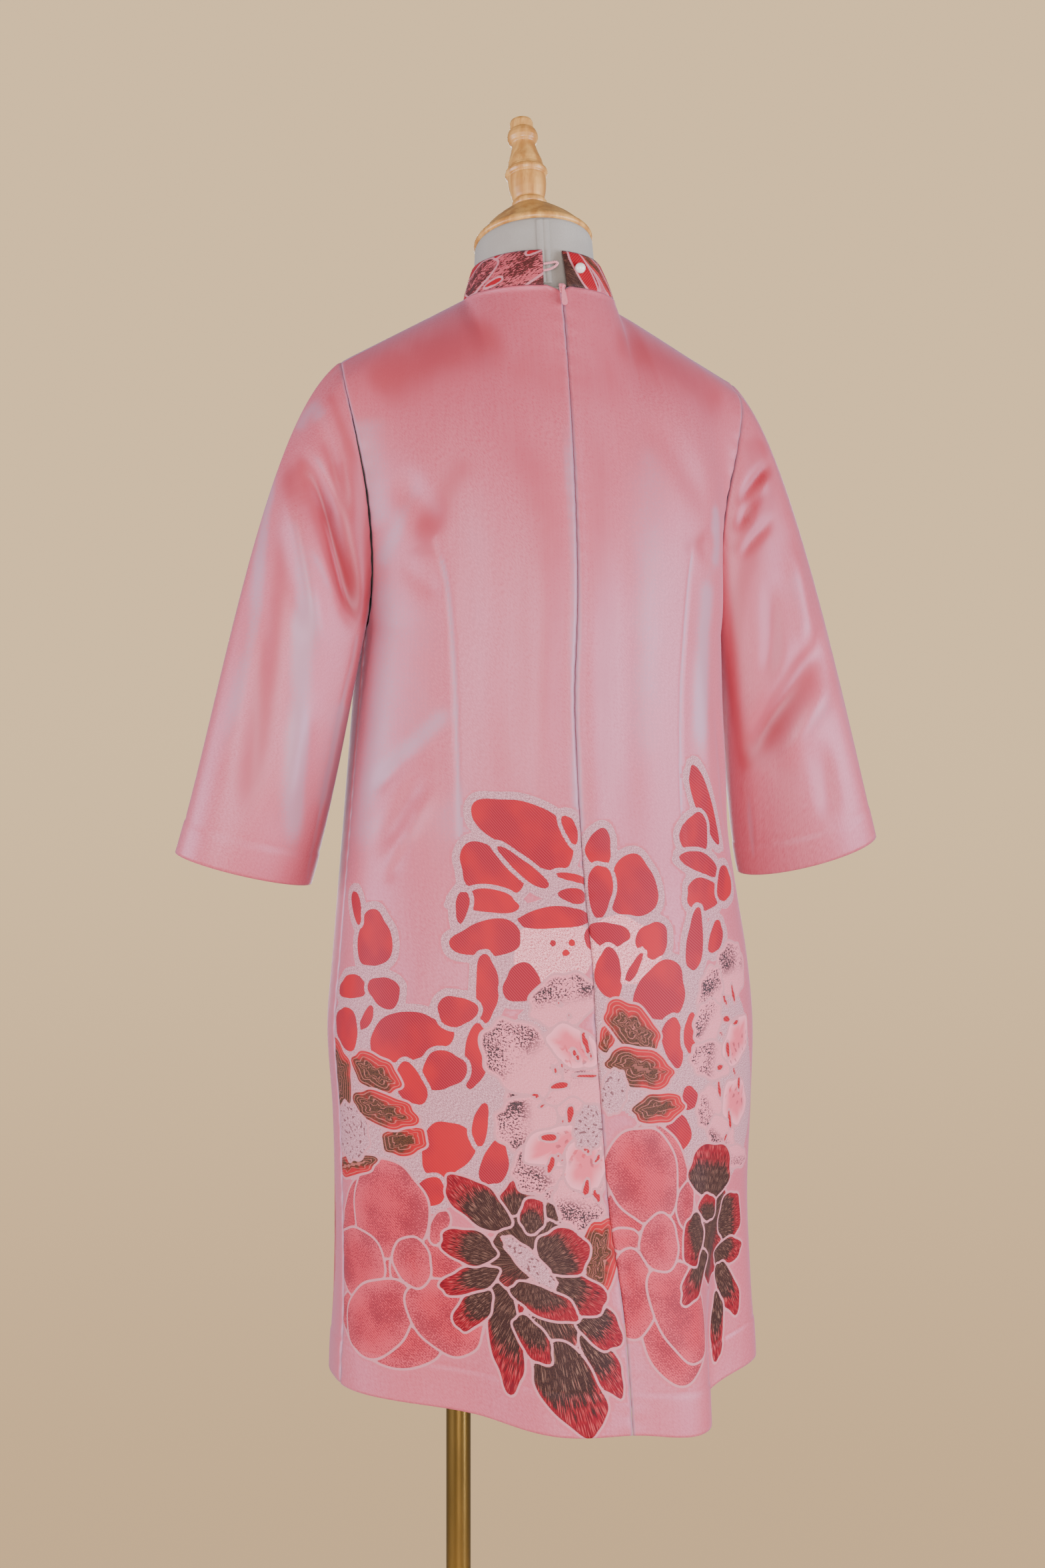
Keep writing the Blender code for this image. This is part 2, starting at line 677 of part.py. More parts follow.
def pull_out(bm, way):
    """Turns the flat faces into a closed block as deep as the given way."""
    made = bmesh.ops.extrude_face_region(bm, geom=bm.faces[:], use_keep_orig=True)
    verts = [item for item in made["geom"] if isinstance(item, bmesh.types.BMVert)]
    bmesh.ops.translate(bm, vec=way, verts=verts)
    bmesh.ops.recalc_face_normals(bm, faces=bm.faces[:])


def join(obj, helper):
    """Unites the helper with the object, and hides it."""
    helper.hide_render = True
    helper.display_type = "WIRE"
    union = obj.modifiers.new(helper.name, "BOOLEAN")
    union.operation = "UNION"
    union.object = helper


def collar_seat(side, around, share):
    """A point on the collar's outer face over the back of the neck, and the way out of it."""
    def at(a, t):
        low, high = (collar_edge(side, True, a, top) for top in (False, True))
        return low + (high - low) * t

    point = at(around, share)
    across = at(around + 0.01, share) - at(around - 0.01, share)
    up = at(around, 1.0) - at(around, 0.0)
    out = np.cross(across, up)
    out /= np.linalg.norm(out)
    return point, out if out[1] > 0 else -out


def add_button(finish, parent):
    """A pearl with a flat back, on the right end of the collar."""
    point, out = collar_seat(-1, BUTTON_AROUND, BUTTON_SHARE)
    bm = bmesh.new()
    bmesh.ops.create_uvsphere(bm, u_segments=16, v_segments=8, radius=BUTTON_RADIUS)
    flat = -BUTTON_RADIUS * BUTTON_FLAT
    everything = bm.verts[:] + bm.edges[:] + bm.faces[:]
    cut = bmesh.ops.bisect_plane(
        bm, geom=everything, plane_co=(0, 0, flat), plane_no=(0, 0, -1), clear_outer=True
    )
    edges = [item for item in cut["geom_cut"] if isinstance(item, bmesh.types.BMEdge)]
    bmesh.ops.holes_fill(bm, edges=edges)
    bmesh.ops.recalc_face_normals(bm, faces=bm.faces[:])
    button = place("button", finished("button", bm), finish, parent)
    button.location = point + out * (TOUCH - flat)
    button.rotation_euler = Vector(out).to_track_quat("Z", "Y").to_euler()


def add_loop(finish, parent):
    """A thread loop that stands out of the collar's left end towards the button."""
    point, out = collar_seat(1, math.asin(COLLAR_END[1] / COLLAR_TOP_SIDE[0]) / (math.pi / 2), LOOP_SHARE)
    low, high = (collar_edge(1, True, 0.2, top) for top in (False, True))
    up = (high - low) / np.linalg.norm(high - low)
    curve = bpy.data.curves.new("button_loop", "CURVE")
    curve.dimensions = "3D"
    curve.bevel_depth = LOOP_RADIUS
    curve.bevel_resolution = 2
    curve.use_fill_caps = True
    steps = 16
    turns = [math.pi * k / steps for k in range(steps + 1)]
    spline = curve.splines.new("POLY")
    spline.points.add(steps)
    for k, turn in enumerate(turns):
        along = LOOP_REACH * math.sin(turn) ** 0.7 + TOUCH
        spot = point + np.array([-along, 0, 0]) + up * LOOP_HALF_HEIGHT * math.cos(turn)
        spot += out * (LOOP_STAND * math.sin(turn) - COLLAR_WALL / 2)
        spline.points[k].co = (*spot, 1)
    place("button_loop", curve, finish, parent)


def form_lower(side, back, around, height):
    half_width, back_depth, front_depth = np.moveaxis(through(FORM_STATIONS, height), -1, 0)
    turn = around * math.pi / 2
    depth = back_depth if back else -front_depth
    y = FORM_SEAM_DEPTH + (depth - FORM_SEAM_DEPTH) * np.clip(np.cos(turn), 0, 1) ** FULLNESS
    return points_of(side * half_width * np.sin(turn), y, height)


def form_yoke(side, back):
    """The torso's shoulders: the dress's own surface moved in by its wall and a little room."""
    around, rises = np.array(AROUNDS), np.array(RISES)
    outer = yoke(side, back, around[None, :], rises[:, None])
    normals = yoke_normals(outer, side, back)
    room = FORM_CLEAR_TOP + (FORM_CLEAR_LOW - FORM_CLEAR_TOP) * ease((1 - rises) / FORM_CLEAR_RISE)
    return (outer - normals * (WALL + room)[:, None, None])[1:]


def form_grid():
    """Rows from the torso's bottom to its neckline, columns all round, an arm plate's included."""
    around = np.array(AROUNDS)[None, :]
    heights = np.array([row[0] for row in FORM_STATIONS])[:, None]
    quarters = {}
    for side in (1, -1):
        for back in (True, False):
            low = form_lower(side, back, around + 0 * heights, heights + 0 * around)
            quarters[side, back] = np.concatenate([low, form_yoke(side, back)])

    def arm_plate(side):
        """A column midway between the back and front edges of the armhole, swelling a little."""
        rear, fore = quarters[side, True][:, -1], quarters[side, False][:, -1]
        middle = (rear + fore) / 2
        width = np.linalg.norm(rear - fore, axis=1)
        middle[:, 0] += side * ARM_PLATE_BULGE * np.clip(width / ARM_PLATE_WIDTH, 0, 1)
        return middle[:, None]

    columns = [
        quarters[1, True][:, ::-1],
        quarters[-1, True][:, 1:],
        arm_plate(-1),
        quarters[-1, False][:, ::-1],
        quarters[1, False][:, 1:],
        arm_plate(1),
        quarters[1, True][:, -1:],
    ]
    return np.concatenate(columns, axis=1)


def neck_ring(level, radius, angle):
    """A point of the neck at this bearing, from the neckline (level 0) to the cap (level 1)."""
    middle = Vector(NECK_BASE).lerp(Vector(CAP_CENTRE), level)
    rear = Vector((0, math.cos(CAP_TILT), math.sin(CAP_TILT)))
    return middle + Vector((1, 0, 0)) * radius * math.cos(angle) + rear * radius * math.sin(angle)


def add_form(finish, parent):
    """The torso and neck, one closed solid."""
    points = form_grid()
    bm = bmesh.new()
    bmesh.ops.create_grid(bm, x_segments=points.shape[1] - 1, y_segments=points.shape[0] - 1, size=1)
    for vert, point in zip(bm.verts, points.reshape(-1, 3)):
        vert.co = point
    bmesh.ops.remove_doubles(bm, verts=bm.verts[:], dist=2e-4)
    rim = [edge for edge in bm.edges if edge.is_boundary and edge.verts[0].co.z > ARMPIT_HEIGHT]
    for level, radius in NECK_LEVELS:
        made = bmesh.ops.extrude_edge_only(bm, edges=rim)["geom"]
        rim = [item for item in made if isinstance(item, bmesh.types.BMEdge) and item.is_boundary]
        for vert in {vert for edge in rim for vert in edge.verts}:
            vert.co = neck_ring(level, radius, math.atan2(vert.co.y - CAP_CENTRE[1], vert.co.x))
    bmesh.ops.holes_fill(bm, edges=[edge for edge in bm.edges if edge.is_boundary])
    bmesh.ops.recalc_face_normals(bm, faces=bm.faces[:])
    place("form_body", finished("form_body", bm), finish, parent)


def lathe(name, profile, ring=False, steps=36):
    """A turned solid about Z. Its (radius, height) points run from the axis to the axis, or close a ring."""
    bm = bmesh.new()
    verts = [bm.verts.new((radius, 0, height)) for radius, height in profile]
    pairs = list(zip(verts, verts[1:])) + ([(verts[-1], verts[0])] if ring else [])
    edges = [bm.edges.new(pair) for pair in pairs]
    bmesh.ops.spin(
        bm, geom=verts + edges, cent=(0, 0, 0), axis=(0, 0, 1), angle=2 * math.pi, steps=steps, use_merge=True
    )
    bmesh.ops.remove_doubles(bm, verts=bm.verts[:], dist=1e-6)
    bmesh.ops.recalc_face_normals(bm, faces=bm.faces[:])
    return finished(name, bm)


def add_neck_cap(finish, parent):
    """The wooden disc on the neck, and the knob on it, on one tilted axis."""
    axis = bpy.data.objects.new("neck_axis", None)
    bpy.context.scene.collection.objects.link(axis)
    axis.parent = parent
    axis.location = CAP_CENTRE
    axis.rotation_euler.x = CAP_TILT
    place("neck_cap", lathe("neck_cap", CAP_PROFILE), finish, axis, (0, 0, TOUCH))
    seat = CAP_PROFILE[-1][1] + 2 * TOUCH
    place("finial", lathe("finial", FINIAL_PROFILE, steps=20), finish, axis, (0, 0, seat))


def add_stand(finish):
    """The pole on the origin's axis, its flange under the torso and its foot on the floor."""
    inner = POLE_RADIUS + TOUCH
    foot = (
        (0, 0), (FOOT_RADIUS - EDGE_ROUND, 0), (FOOT_RADIUS, EDGE_ROUND),
        (FOOT_RADIUS, FOOT_THICKNESS - 2 * EDGE_ROUND), (FOOT_RADIUS - 2 * EDGE_ROUND, FOOT_THICKNESS),
        (SOCKET_RADIUS + 2 * EDGE_ROUND, FOOT_THICKNESS), (SOCKET_RADIUS, FOOT_THICKNESS + 2 * EDGE_ROUND),
        (SOCKET_RADIUS, SOCKET_HEIGHT - EDGE_ROUND), (SOCKET_RADIUS - EDGE_ROUND, SOCKET_HEIGHT),
        (inner, SOCKET_HEIGHT), (inner, FOOT_THICKNESS), (0, FOOT_THICKNESS),
    )
    top = FORM_BOTTOM - TOUCH
    flange = (
        (inner, top - FLANGE_HEIGHT), (SOCKET_RADIUS, top - FLANGE_HEIGHT),
        (SOCKET_RADIUS, top - FLANGE_LIP - EDGE_ROUND), (FLANGE_RADIUS, top - FLANGE_LIP),
        (FLANGE_RADIUS, top), (inner, top),
    )
    low = FOOT_THICKNESS + TOUCH
    pole = ((0, low), (POLE_RADIUS, low), (POLE_RADIUS, top), (0, top))
    place("base", lathe("base", foot, steps=40), finish, None)
    place("pole", lathe("pole", pole, steps=24), finish, None)
    place("pole_flange", lathe("pole_flange", flange, ring=True, steps=24), finish, None)


def main():
    clear_scene()
    satin = material("pink satin", PINK, 0.38)
    brocade = material("flowered brocade", BROCADE, 0.45)
    enamel = material("pink enamel", PINK, 0.30)
    linen = material("grey form cloth", LINEN, 0.85)
    wood = material("light wood", WOOD, 0.40)
    brass = material("brass", BRASS, 0.22, 1.0)
    pearl = material("pearl", PEARL, 0.15)
    centre = bpy.data.objects.new("figure_centre", None)
    bpy.context.scene.collection.objects.link(centre)
    centre.location = (BODY_X, 0, 0)
    add_body_panels(satin, centre)
    add_sleeves(satin, centre)
    add_collar(brocade, centre)
    add_zip(satin, enamel, centre)
    add_button(pearl, centre)
    add_loop(satin, centre)
    add_form(linen, centre)
    add_neck_cap(wood, centre)
    add_stand(brass)


main()
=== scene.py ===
"""Looks for a shift dress of shot satin with a woven flower border, on a limbless dress form.

The cloth pieces are fine shells on the same formulas as the solids, with folds, seams and hems raised in
them. Metres, +Z up. The front faces -Y and the wearer's left is +X.
"""

import math

import bmesh
import bpy
import numpy as np
from mathutils import Matrix, Vector


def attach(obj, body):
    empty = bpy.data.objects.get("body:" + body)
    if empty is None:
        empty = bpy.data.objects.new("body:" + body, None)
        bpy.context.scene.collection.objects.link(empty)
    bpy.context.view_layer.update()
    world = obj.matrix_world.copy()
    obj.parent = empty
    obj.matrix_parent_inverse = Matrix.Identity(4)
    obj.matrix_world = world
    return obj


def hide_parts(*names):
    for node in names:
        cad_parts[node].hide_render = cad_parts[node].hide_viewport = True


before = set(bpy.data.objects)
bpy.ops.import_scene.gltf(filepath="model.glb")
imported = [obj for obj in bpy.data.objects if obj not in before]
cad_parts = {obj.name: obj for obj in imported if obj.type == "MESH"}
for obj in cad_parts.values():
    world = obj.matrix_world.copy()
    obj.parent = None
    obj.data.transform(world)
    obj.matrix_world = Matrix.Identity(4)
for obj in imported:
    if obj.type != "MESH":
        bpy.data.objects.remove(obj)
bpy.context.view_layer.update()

DRESS = "dress_on_form"

# The figure's centre line, seen from the pole's axis. Points are made about it and moved there at the end.
BODY_X = -0.073
PER_METRE = 1000.0
SEAM_GAP = 0.0004
SLEEVE_GAP = 0.0007
UNDERARM_LIFT = 0.0008
UNDERARM_RISE = 0.35
UNDERARM_TOP = 1.235
# Dress body. Heights are above the floor, depths from the centre line. The last column is the centre back
# seam's place to the wearer's left.
# height, half width, back depth, front depth, side seam's depth, centre, back seam
STATIONS = (
    (0.525, 0.181, 0.138, 0.150, 0.018, -0.003, -0.028),
    (0.620, 0.179, 0.134, 0.148, 0.018, -0.002, -0.024),
    (0.700, 0.179, 0.132, 0.147, 0.018, 0.000, -0.016),
    (0.775, 0.182, 0.133, 0.147, 0.018, 0.000, -0.010),
    (0.850, 0.185, 0.134, 0.146, 0.020, 0.002, -0.006),
    (0.905, 0.180, 0.131, 0.142, 0.022, 0.003, -0.005),
    (0.955, 0.174, 0.124, 0.139, 0.022, 0.005, -0.004),
    (1.010, 0.168, 0.114, 0.138, 0.020, 0.006, -0.004),
    (1.060, 0.1655, 0.108, 0.140, 0.018, 0.004, -0.001),
    (1.120, 0.1615, 0.107, 0.146, 0.014, 0.002, 0.003),
    (1.180, 0.158, 0.110, 0.150, 0.012, 0.000, 0.004),
)
HEM_HEIGHT = 0.525
ARMPIT_HEIGHT = 1.180
FULLNESS = 0.88
# Waves that grow from WAVE_TOP down to the hem. Bearings are degrees about the centre line: 0 is the
# wearer's left, 90 the back, 180 the wearer's right and 270 the front.
WAVE_TOP = 0.80
WAVE_GROWTH = 1.3
# bearing, half spread, reach
WAVES = (
    (42.0, 26.0, -0.024),
    (84.0, 22.0, 0.010),
    (124.0, 16.0, 0.014),
    (147.0, 12.0, -0.030),
    (172.0, 12.0, 0.006),
    (8.0, 14.0, 0.006),
    (212.0, 20.0, 0.012),
    (240.0, 16.0, -0.014),
    (272.0, 22.0, 0.010),
    (305.0, 18.0, -0.016),
    (335.0, 18.0, 0.010),
)
# How far the hem's edge sits above HEM_HEIGHT. The lift fades out at HEM_LIFT_TOP.
HEM_LIFT_TOP = 0.62
# bearing, lift
HEM_LIFTS = (
    (0.0, 0.026), (25.0, 0.020), (50.0, 0.012), (75.0, 0.0), (105.0, -0.005), (125.0, -0.011),
    (140.0, -0.003), (157.0, 0.020), (180.0, 0.030), (225.0, 0.022), (270.0, 0.016), (315.0, 0.020),
    (360.0, 0.026),
)
# Neckline, shoulder seam and armholes. NECK_SHARE is the neck point's place from centre to side.
NECK_SHARE = 0.36
NECK_POINT = (0.0665, -0.002, 1.466)
SHOULDER_TIP = (0.178, 0.006, 1.405)
BACK_NECK = (0.058, 1.470)
FRONT_NECK = (-0.076, 1.421)
NECK_OPENING = {1: 0.0100, -1: 0.0055}
NECK_OPENING_START = 0.962
NECK_OPENING_FALL = 6
ARMHOLE_TUCK = {1: 0.0, -1: 0.007}
# rise, out, depth, height
BACK_ARMHOLE = (
    (0.00, 0.1580, 0.012, 1.180),
    (0.10, 0.1578, 0.024, 1.192),
    (0.25, 0.1580, 0.034, 1.226),
    (0.48, 0.1640, 0.041, 1.288),
    (0.70, 0.1740, 0.040, 1.343),
    (0.88, 0.1800, 0.026, 1.386),
    (1.00, 0.1780, 0.006, 1.405),
)
FRONT_ARMHOLE = (
    (0.00, 0.1580, 0.012, 1.180),
    (0.10, 0.1565, -0.002, 1.192),
    (0.25, 0.1530, -0.022, 1.222),
    (0.48, 0.1520, -0.046, 1.284),
    (0.70, 0.1640, -0.047, 1.341),
    (0.88, 0.1755, -0.026, 1.385),
    (1.00, 0.1780, 0.006, 1.405),
)
FRONT_NECK_FALL = 1.3
RISES = (0.0, 0.09, 0.18, 0.28, 0.38, 0.48, 0.58, 0.68, 0.77, 0.85, 0.915, 0.965, 1.0)
EDGE_PULL = 4.0
TOP_BLUR = 0.30
BLUR_STEPS = 9
BLUR_FADE = 0.7
STEP_BELOW = 0.01
SWELL_SHARE = 0.9
START_REACH = 0.27
SHOULDER_REACH = 0.17
NECK_REACH = 0.12
BLADE_FULLNESS = 0.014
BUST_FULLNESS = 0.010
ROLL_START = 0.10
NECK_SLOPE = 66.0
SHOULDER_SLOPE = 8.0
CUFF_CENTRE = {1: (0.256, -0.014, 0.980), -1: (-0.260, -0.014, 0.988)}
CUFF_HALF_WIDTH = 0.064
CUFF_HALF_DEPTH = 0.038
CUFF_TURN = math.radians(18)
CUFF_SWING = -0.20
CUFF_TILT = {1: math.radians(15), -1: math.radians(20)}
CAP_REACH = {1: 0.25, -1: 0.20}
UNDERARM_REACH = 0.16
CUFF_REACH_TOP = 0.36
CUFF_REACH_LOW = 0.16
SLEEVE_LEAN = 0.22
CAP_LEAN = 0.80
SIDE_SWING = 0.34
SWING_FADE = 0.6
CAP_LEAN_RISE = 1.5
# Collar
COLLAR_GAP = 0.0006
COLLAR_TOP_SIDE = (0.0565, -0.010, 1.497)
COLLAR_TOP_BACK = (0.047, 1.503)
COLLAR_TOP_FRONT = (-0.068, 1.452)
COLLAR_END = {1: 0.0125, -1: 0.0050}
BUTTON_RADIUS = 0.0045
BUTTON_FLAT = 0.72
LOOP_REACH = 0.0125
LOOP_HALF_HEIGHT = 0.0032
LOOP_STAND = 0.0028
LOOP_SHARE = 0.52
BUTTON_AROUND = 0.19
BUTTON_SHARE = 0.50
# The form under the dress
FORM_BOTTOM = 0.800
FORM_SEAM_DEPTH = 0.010
# height, half width, back depth, front depth
FORM_STATIONS = (
    (0.800, 0.140, 0.088, 0.100),
    (0.812, 0.156, 0.104, 0.114),
    (0.850, 0.164, 0.114, 0.118),
    (0.900, 0.163, 0.112, 0.116),
    (0.960, 0.150, 0.098, 0.108),
    (1.020, 0.134, 0.086, 0.100),
    (1.070, 0.130, 0.084, 0.104),
    (1.120, 0.138, 0.088, 0.118),
    (1.180, 0.149, 0.098, 0.138),
)
FORM_CLEAR_LOW = 0.0075
FORM_CLEAR_TOP = 0.0006
FORM_CLEAR_RISE = 0.12
ARM_PLATE_BULGE = 0.006
ARM_PLATE_WIDTH = 0.08
NECK_BASE = (0, -0.009, 1.4455)
CAP_CENTRE = (0.002, -0.010, 1.5175)
CAP_TILT = math.radians(16.5)
# radius, height above the seat
CAP_PROFILE = (
    (0, 0), (0.0500, 0), (0.0520, 0.0015), (0.0520, 0.0040), (0.0505, 0.0065), (0.0478, 0.0090),
    (0.0455, 0.0115), (0.0410, 0.0165), (0.0370, 0.0205), (0.0300, 0.0265), (0.0230, 0.0320),
    (0.0180, 0.0352), (0.0165, 0.0368), (0, 0.0368),
)
TOUCH = 0.0003
# Pole, flange and foot
POLE_RADIUS = 0.0105
FOOT_RADIUS = 0.190
FOOT_THICKNESS = 0.012
SOCKET_RADIUS = 0.021
SOCKET_HEIGHT = 0.034
FLANGE_RADIUS = 0.034
FLANGE_HEIGHT = 0.016
FLANGE_LIP = 0.004
EDGE_ROUND = 0.002


def hermite(start, end, lead, arrive, t):
    """A cubic curve from start to end with the given tangents."""
    t2 = t * t
    t3 = t2 * t
    return (
        (2 * t3 - 3 * t2 + 1) * start
        + (t3 - 2 * t2 + t) * lead
        + (3 * t2 - 2 * t3) * end
        + (t3 - t2) * arrive
    )


def through(rows, at):
    """The other columns of a table, read on a smooth curve at these values of its first column."""
    table = np.array(rows, float)
    keys, values = table[:, 0], table[:, 1:]
    slopes = np.gradient(values, keys, axis=0)
    at = np.clip(np.asarray(at, float), keys[0], keys[-1])
    i = np.clip(np.searchsorted(keys, at) - 1, 0, len(keys) - 2)
    step = (keys[i + 1] - keys[i])[..., None]
    t = (at - keys[i])[..., None] / step
    return hermite(values[i], values[i + 1], slopes[i] * step, slopes[i + 1] * step, t)


def ease(t):
    """From 0 to 1, slow at both ends."""
    t = np.clip(t, 0.0, 1.0)
    return t * t * (3 - 2 * t)


def bell(gap, width):
    """1 at no distance, and smoothly less with more."""
    return np.exp(-((gap / width) ** 2))


def faded(along, share, start=0.0):
    """1 over the middle of a line, and less over this share of it at each end."""
    return ease(along / share + start) * ease((1 - along) / share + start)


def points_of(x, y, z):
    """Points of these coordinates, spread to one shape."""
    return np.stack(np.broadcast_arrays(x, y, z), axis=-1).astype(float)


def waved(points):
    """The points moved out and in by the skirt's waves, and the hem's edge lifted."""
    x, y, z = points[..., 0], points[..., 1], points[..., 2]
    bearing = np.degrees(np.arctan2(y, x)) % 360
    growth = ease((WAVE_TOP - z) / (WAVE_TOP - HEM_HEIGHT)) ** WAVE_GROWTH
    out = np.zeros_like(x)
    for centre, spread, reach in WAVES:
        off = (bearing - centre + 180) % 360 - 180
        out = out + reach * bell(off, spread)
    lift = through(HEM_LIFTS, bearing)[..., 0] * ease((HEM_LIFT_TOP - z) / (HEM_LIFT_TOP - HEM_HEIGHT))
    ray = np.hypot(x, y)
    return points_of(x + x / ray * out * growth, y + y / ray * out * growth, z + lift)


def lower_body(side, back, around, height):
    """Points of the dress from the hem to the armpits. around is 0 at the centre and 1 at the side."""
    half_width, back_depth, front_depth, side_depth, centre, back_seam = np.moveaxis(
        through(STATIONS, height), -1, 0
    )
    start = np.arcsin(side * back_seam / half_width) if back else 0.0
    turn = start + (math.pi / 2 - start) * around
    depth = back_depth if back else -front_depth
    y = side_depth + (depth - side_depth) * np.clip(np.cos(turn), 0, 1) ** FULLNESS
    return waved(points_of(centre + side * half_width * np.sin(turn), y, height))


def top_line(side, back, around):
    """The neckline from the centre to the neck point, then the shoulder seam. Both can be read past their
    ends."""
    around = np.asarray(around, float)
    flip = np.where(around < 0, -1.0, 1.0)
    along = np.abs(around)
    turn = np.clip(along / NECK_SHARE, 0, 1) * math.pi / 2
    neck_x, neck_y, neck_z = NECK_POINT
    depth, height = BACK_NECK if back else FRONT_NECK
    fall = np.cos(turn) ** (1.0 if back else FRONT_NECK_FALL)
    neckline = points_of(
        neck_x * np.sin(turn), neck_y + (depth - neck_y) * np.cos(turn), neck_z + (height - neck_z) * fall
    )
    share = np.clip((along - NECK_SHARE) / (1 - NECK_SHARE), 0, None)[..., None]
    seam = (np.array(SHOULDER_TIP) - np.array(NECK_POINT)) * share
    line = neckline + seam
    line[..., 0] *= side * flip
    return line


def blurred_top(side, back, around, blur):
    """The top line averaged over a share of its length, so that its corner fades away below it."""
    offsets = np.linspace(-0.5, 0.5, BLUR_STEPS)
    return sum(top_line(side, back, around + blur * offset) for offset in offsets) / BLUR_STEPS


def armhole(side, back, rise):
    """A panel's edge at the armhole, from the armpit (rise 0) to the shoulder's tip (rise 1)."""
    edge = through(BACK_ARMHOLE if back else FRONT_ARMHOLE, rise)
    if back:
        edge[..., 0] -= ARMHOLE_TUCK[side] * np.sin(math.pi * np.clip(rise, 0, 1)) ** 2
    edge[..., 0] *= side
    return edge


def yoke(side, back, around, rise):
    """Points of the dress from the armpit ring (rise 0) to the neckline and shoulder seams (rise 1)."""
    around, rise = np.broadcast_arrays(np.asarray(around, float), np.asarray(rise, float))

    def column(share):
        base = lower_body(side, back, share, np.full_like(rise, ARMPIT_HEIGHT))
        below = lower_body(side, back, share, np.full_like(rise, ARMPIT_HEIGHT - STEP_BELOW))
        lead = (base - below) / STEP_BELOW * START_REACH
        end = blurred_top(side, back, share, TOP_BLUR * (1 - rise) ** BLUR_FADE)
        roll = ease((share - ROLL_START) / NECK_SHARE)
        slope = np.radians(NECK_SLOPE + (SHOULDER_SLOPE - NECK_SLOPE) * roll)
        reach = NECK_REACH + (SHOULDER_REACH - NECK_REACH) * roll
        forward = -1.0 if back else 1.0
        arrive = points_of(0 * share, forward * np.cos(slope) * reach, np.sin(slope) * reach)
        return hermite(base, end, lead, arrive, rise[..., None])

    points = column(around)
    points += (around**EDGE_PULL)[..., None] * (armhole(side, back, rise) - column(np.ones_like(around)))
    swell = np.sin(math.pi * rise) ** 2 * np.sin(math.pi * np.clip(around * SWELL_SHARE, 0, 1)) ** 2
    points[..., 1] += swell * (BLADE_FULLNESS if back else -BUST_FULLNESS)
    return points


def opened_neck(points, side, around, rise):
    """The centre back edge drawn aside over the last stretch below the neckline."""
    opening = NECK_OPENING[side] * ease((rise - NECK_OPENING_START) / (1 - NECK_OPENING_START))
    points[..., 0] += side * opening * (1 - around) ** NECK_OPENING_FALL
    return points


def outward(points, ring=False):
    """Unit normals of a grid of points. On a ring the last column repeats the first."""
    across = np.gradient(points, axis=1)
    if ring:
        across[:, 0] = across[:, -1] = points[:, 1] - points[:, -2]
    return unit(np.cross(across, np.gradient(points, axis=0)))


def unit(vectors):
    """The vectors at a length of 1."""
    return vectors / np.linalg.norm(vectors, axis=-1, keepdims=True)


def cuff_frame(side):
    """The cuff's long and short directions, and the way the sleeve runs through it."""
    down = Vector((side * math.sin(CUFF_TILT[side]), CUFF_SWING, -math.cos(CUFF_TILT[side]))).normalized()
    wide = Vector((side * math.cos(CUFF_TURN), math.sin(CUFF_TURN), 0))
    wide = (wide - down * wide.dot(down)).normalized()
    return np.array(wide), np.array(down.cross(wide)) * side, np.array(down)


def collar_edge(side, back, around, top):
    """A point of the collar's lower or upper edge, from the centre (0) to the side of the neck (1)."""
    turn = around * math.pi / 2
    side_x, side_y, side_z = COLLAR_TOP_SIDE if top else NECK_POINT
    if top:
        depth, height = COLLAR_TOP_BACK if back else COLLAR_TOP_FRONT
    else:
        depth, height = BACK_NECK if back else FRONT_NECK
    fall = np.cos(turn) ** (1.0 if back else FRONT_NECK_FALL)
    x = side * side_x * np.sin(turn)
    y = side_y + (depth - side_y) * np.cos(turn)
    return points_of(x, y, side_z + (height - side_z) * fall)


def collar_seat(side, around, share):
    """A point on the collar's outer face over the back of the neck, and the way out of it."""
    def at(a, t):
        low, high = (collar_edge(side, True, a, top) for top in (False, True))
        return low + (high - low) * t

    point = at(around, share)
    across = at(around + 0.01, share) - at(around - 0.01, share)
    up = at(around, 1.0) - at(around, 0.0)
    out = np.cross(across, up)
    out /= np.linalg.norm(out)
    return point, out if out[1] > 0 else -out


def form_lower(side, back, around, height):
    """Points of the form's torso from its bottom to the armpits."""
    half_width, back_depth, front_depth = np.moveaxis(through(FORM_STATIONS, height), -1, 0)
    turn = around * math.pi / 2
    depth = back_depth if back else -front_depth
    y = FORM_SEAM_DEPTH + (depth - FORM_SEAM_DEPTH) * np.clip(np.cos(turn), 0, 1) ** FULLNESS
    return points_of(side * half_width * np.sin(turn), y, height)


# Fine grids of the cloth. Pitches are in metres.
FLOWER_PITCH = 0.0020
PLAIN_PITCH = 0.0042
FLOWER_TOP = 1.075
FRONT_PITCH = 0.0031
YOKE_LENGTH = 0.29
BACK_GIRTH = 0.212
SLEEVE_COLUMNS = 112
SLEEVE_LENGTH = 0.42
SLEEVE_PITCH = 0.0036
COLLAR_COLUMNS = 280
COLLAR_ROWS = 26
CLOTH_THICKNESS = 0.0011
THICKNESS = {"collar": 0.0018, "zip_tape": 0.0007}

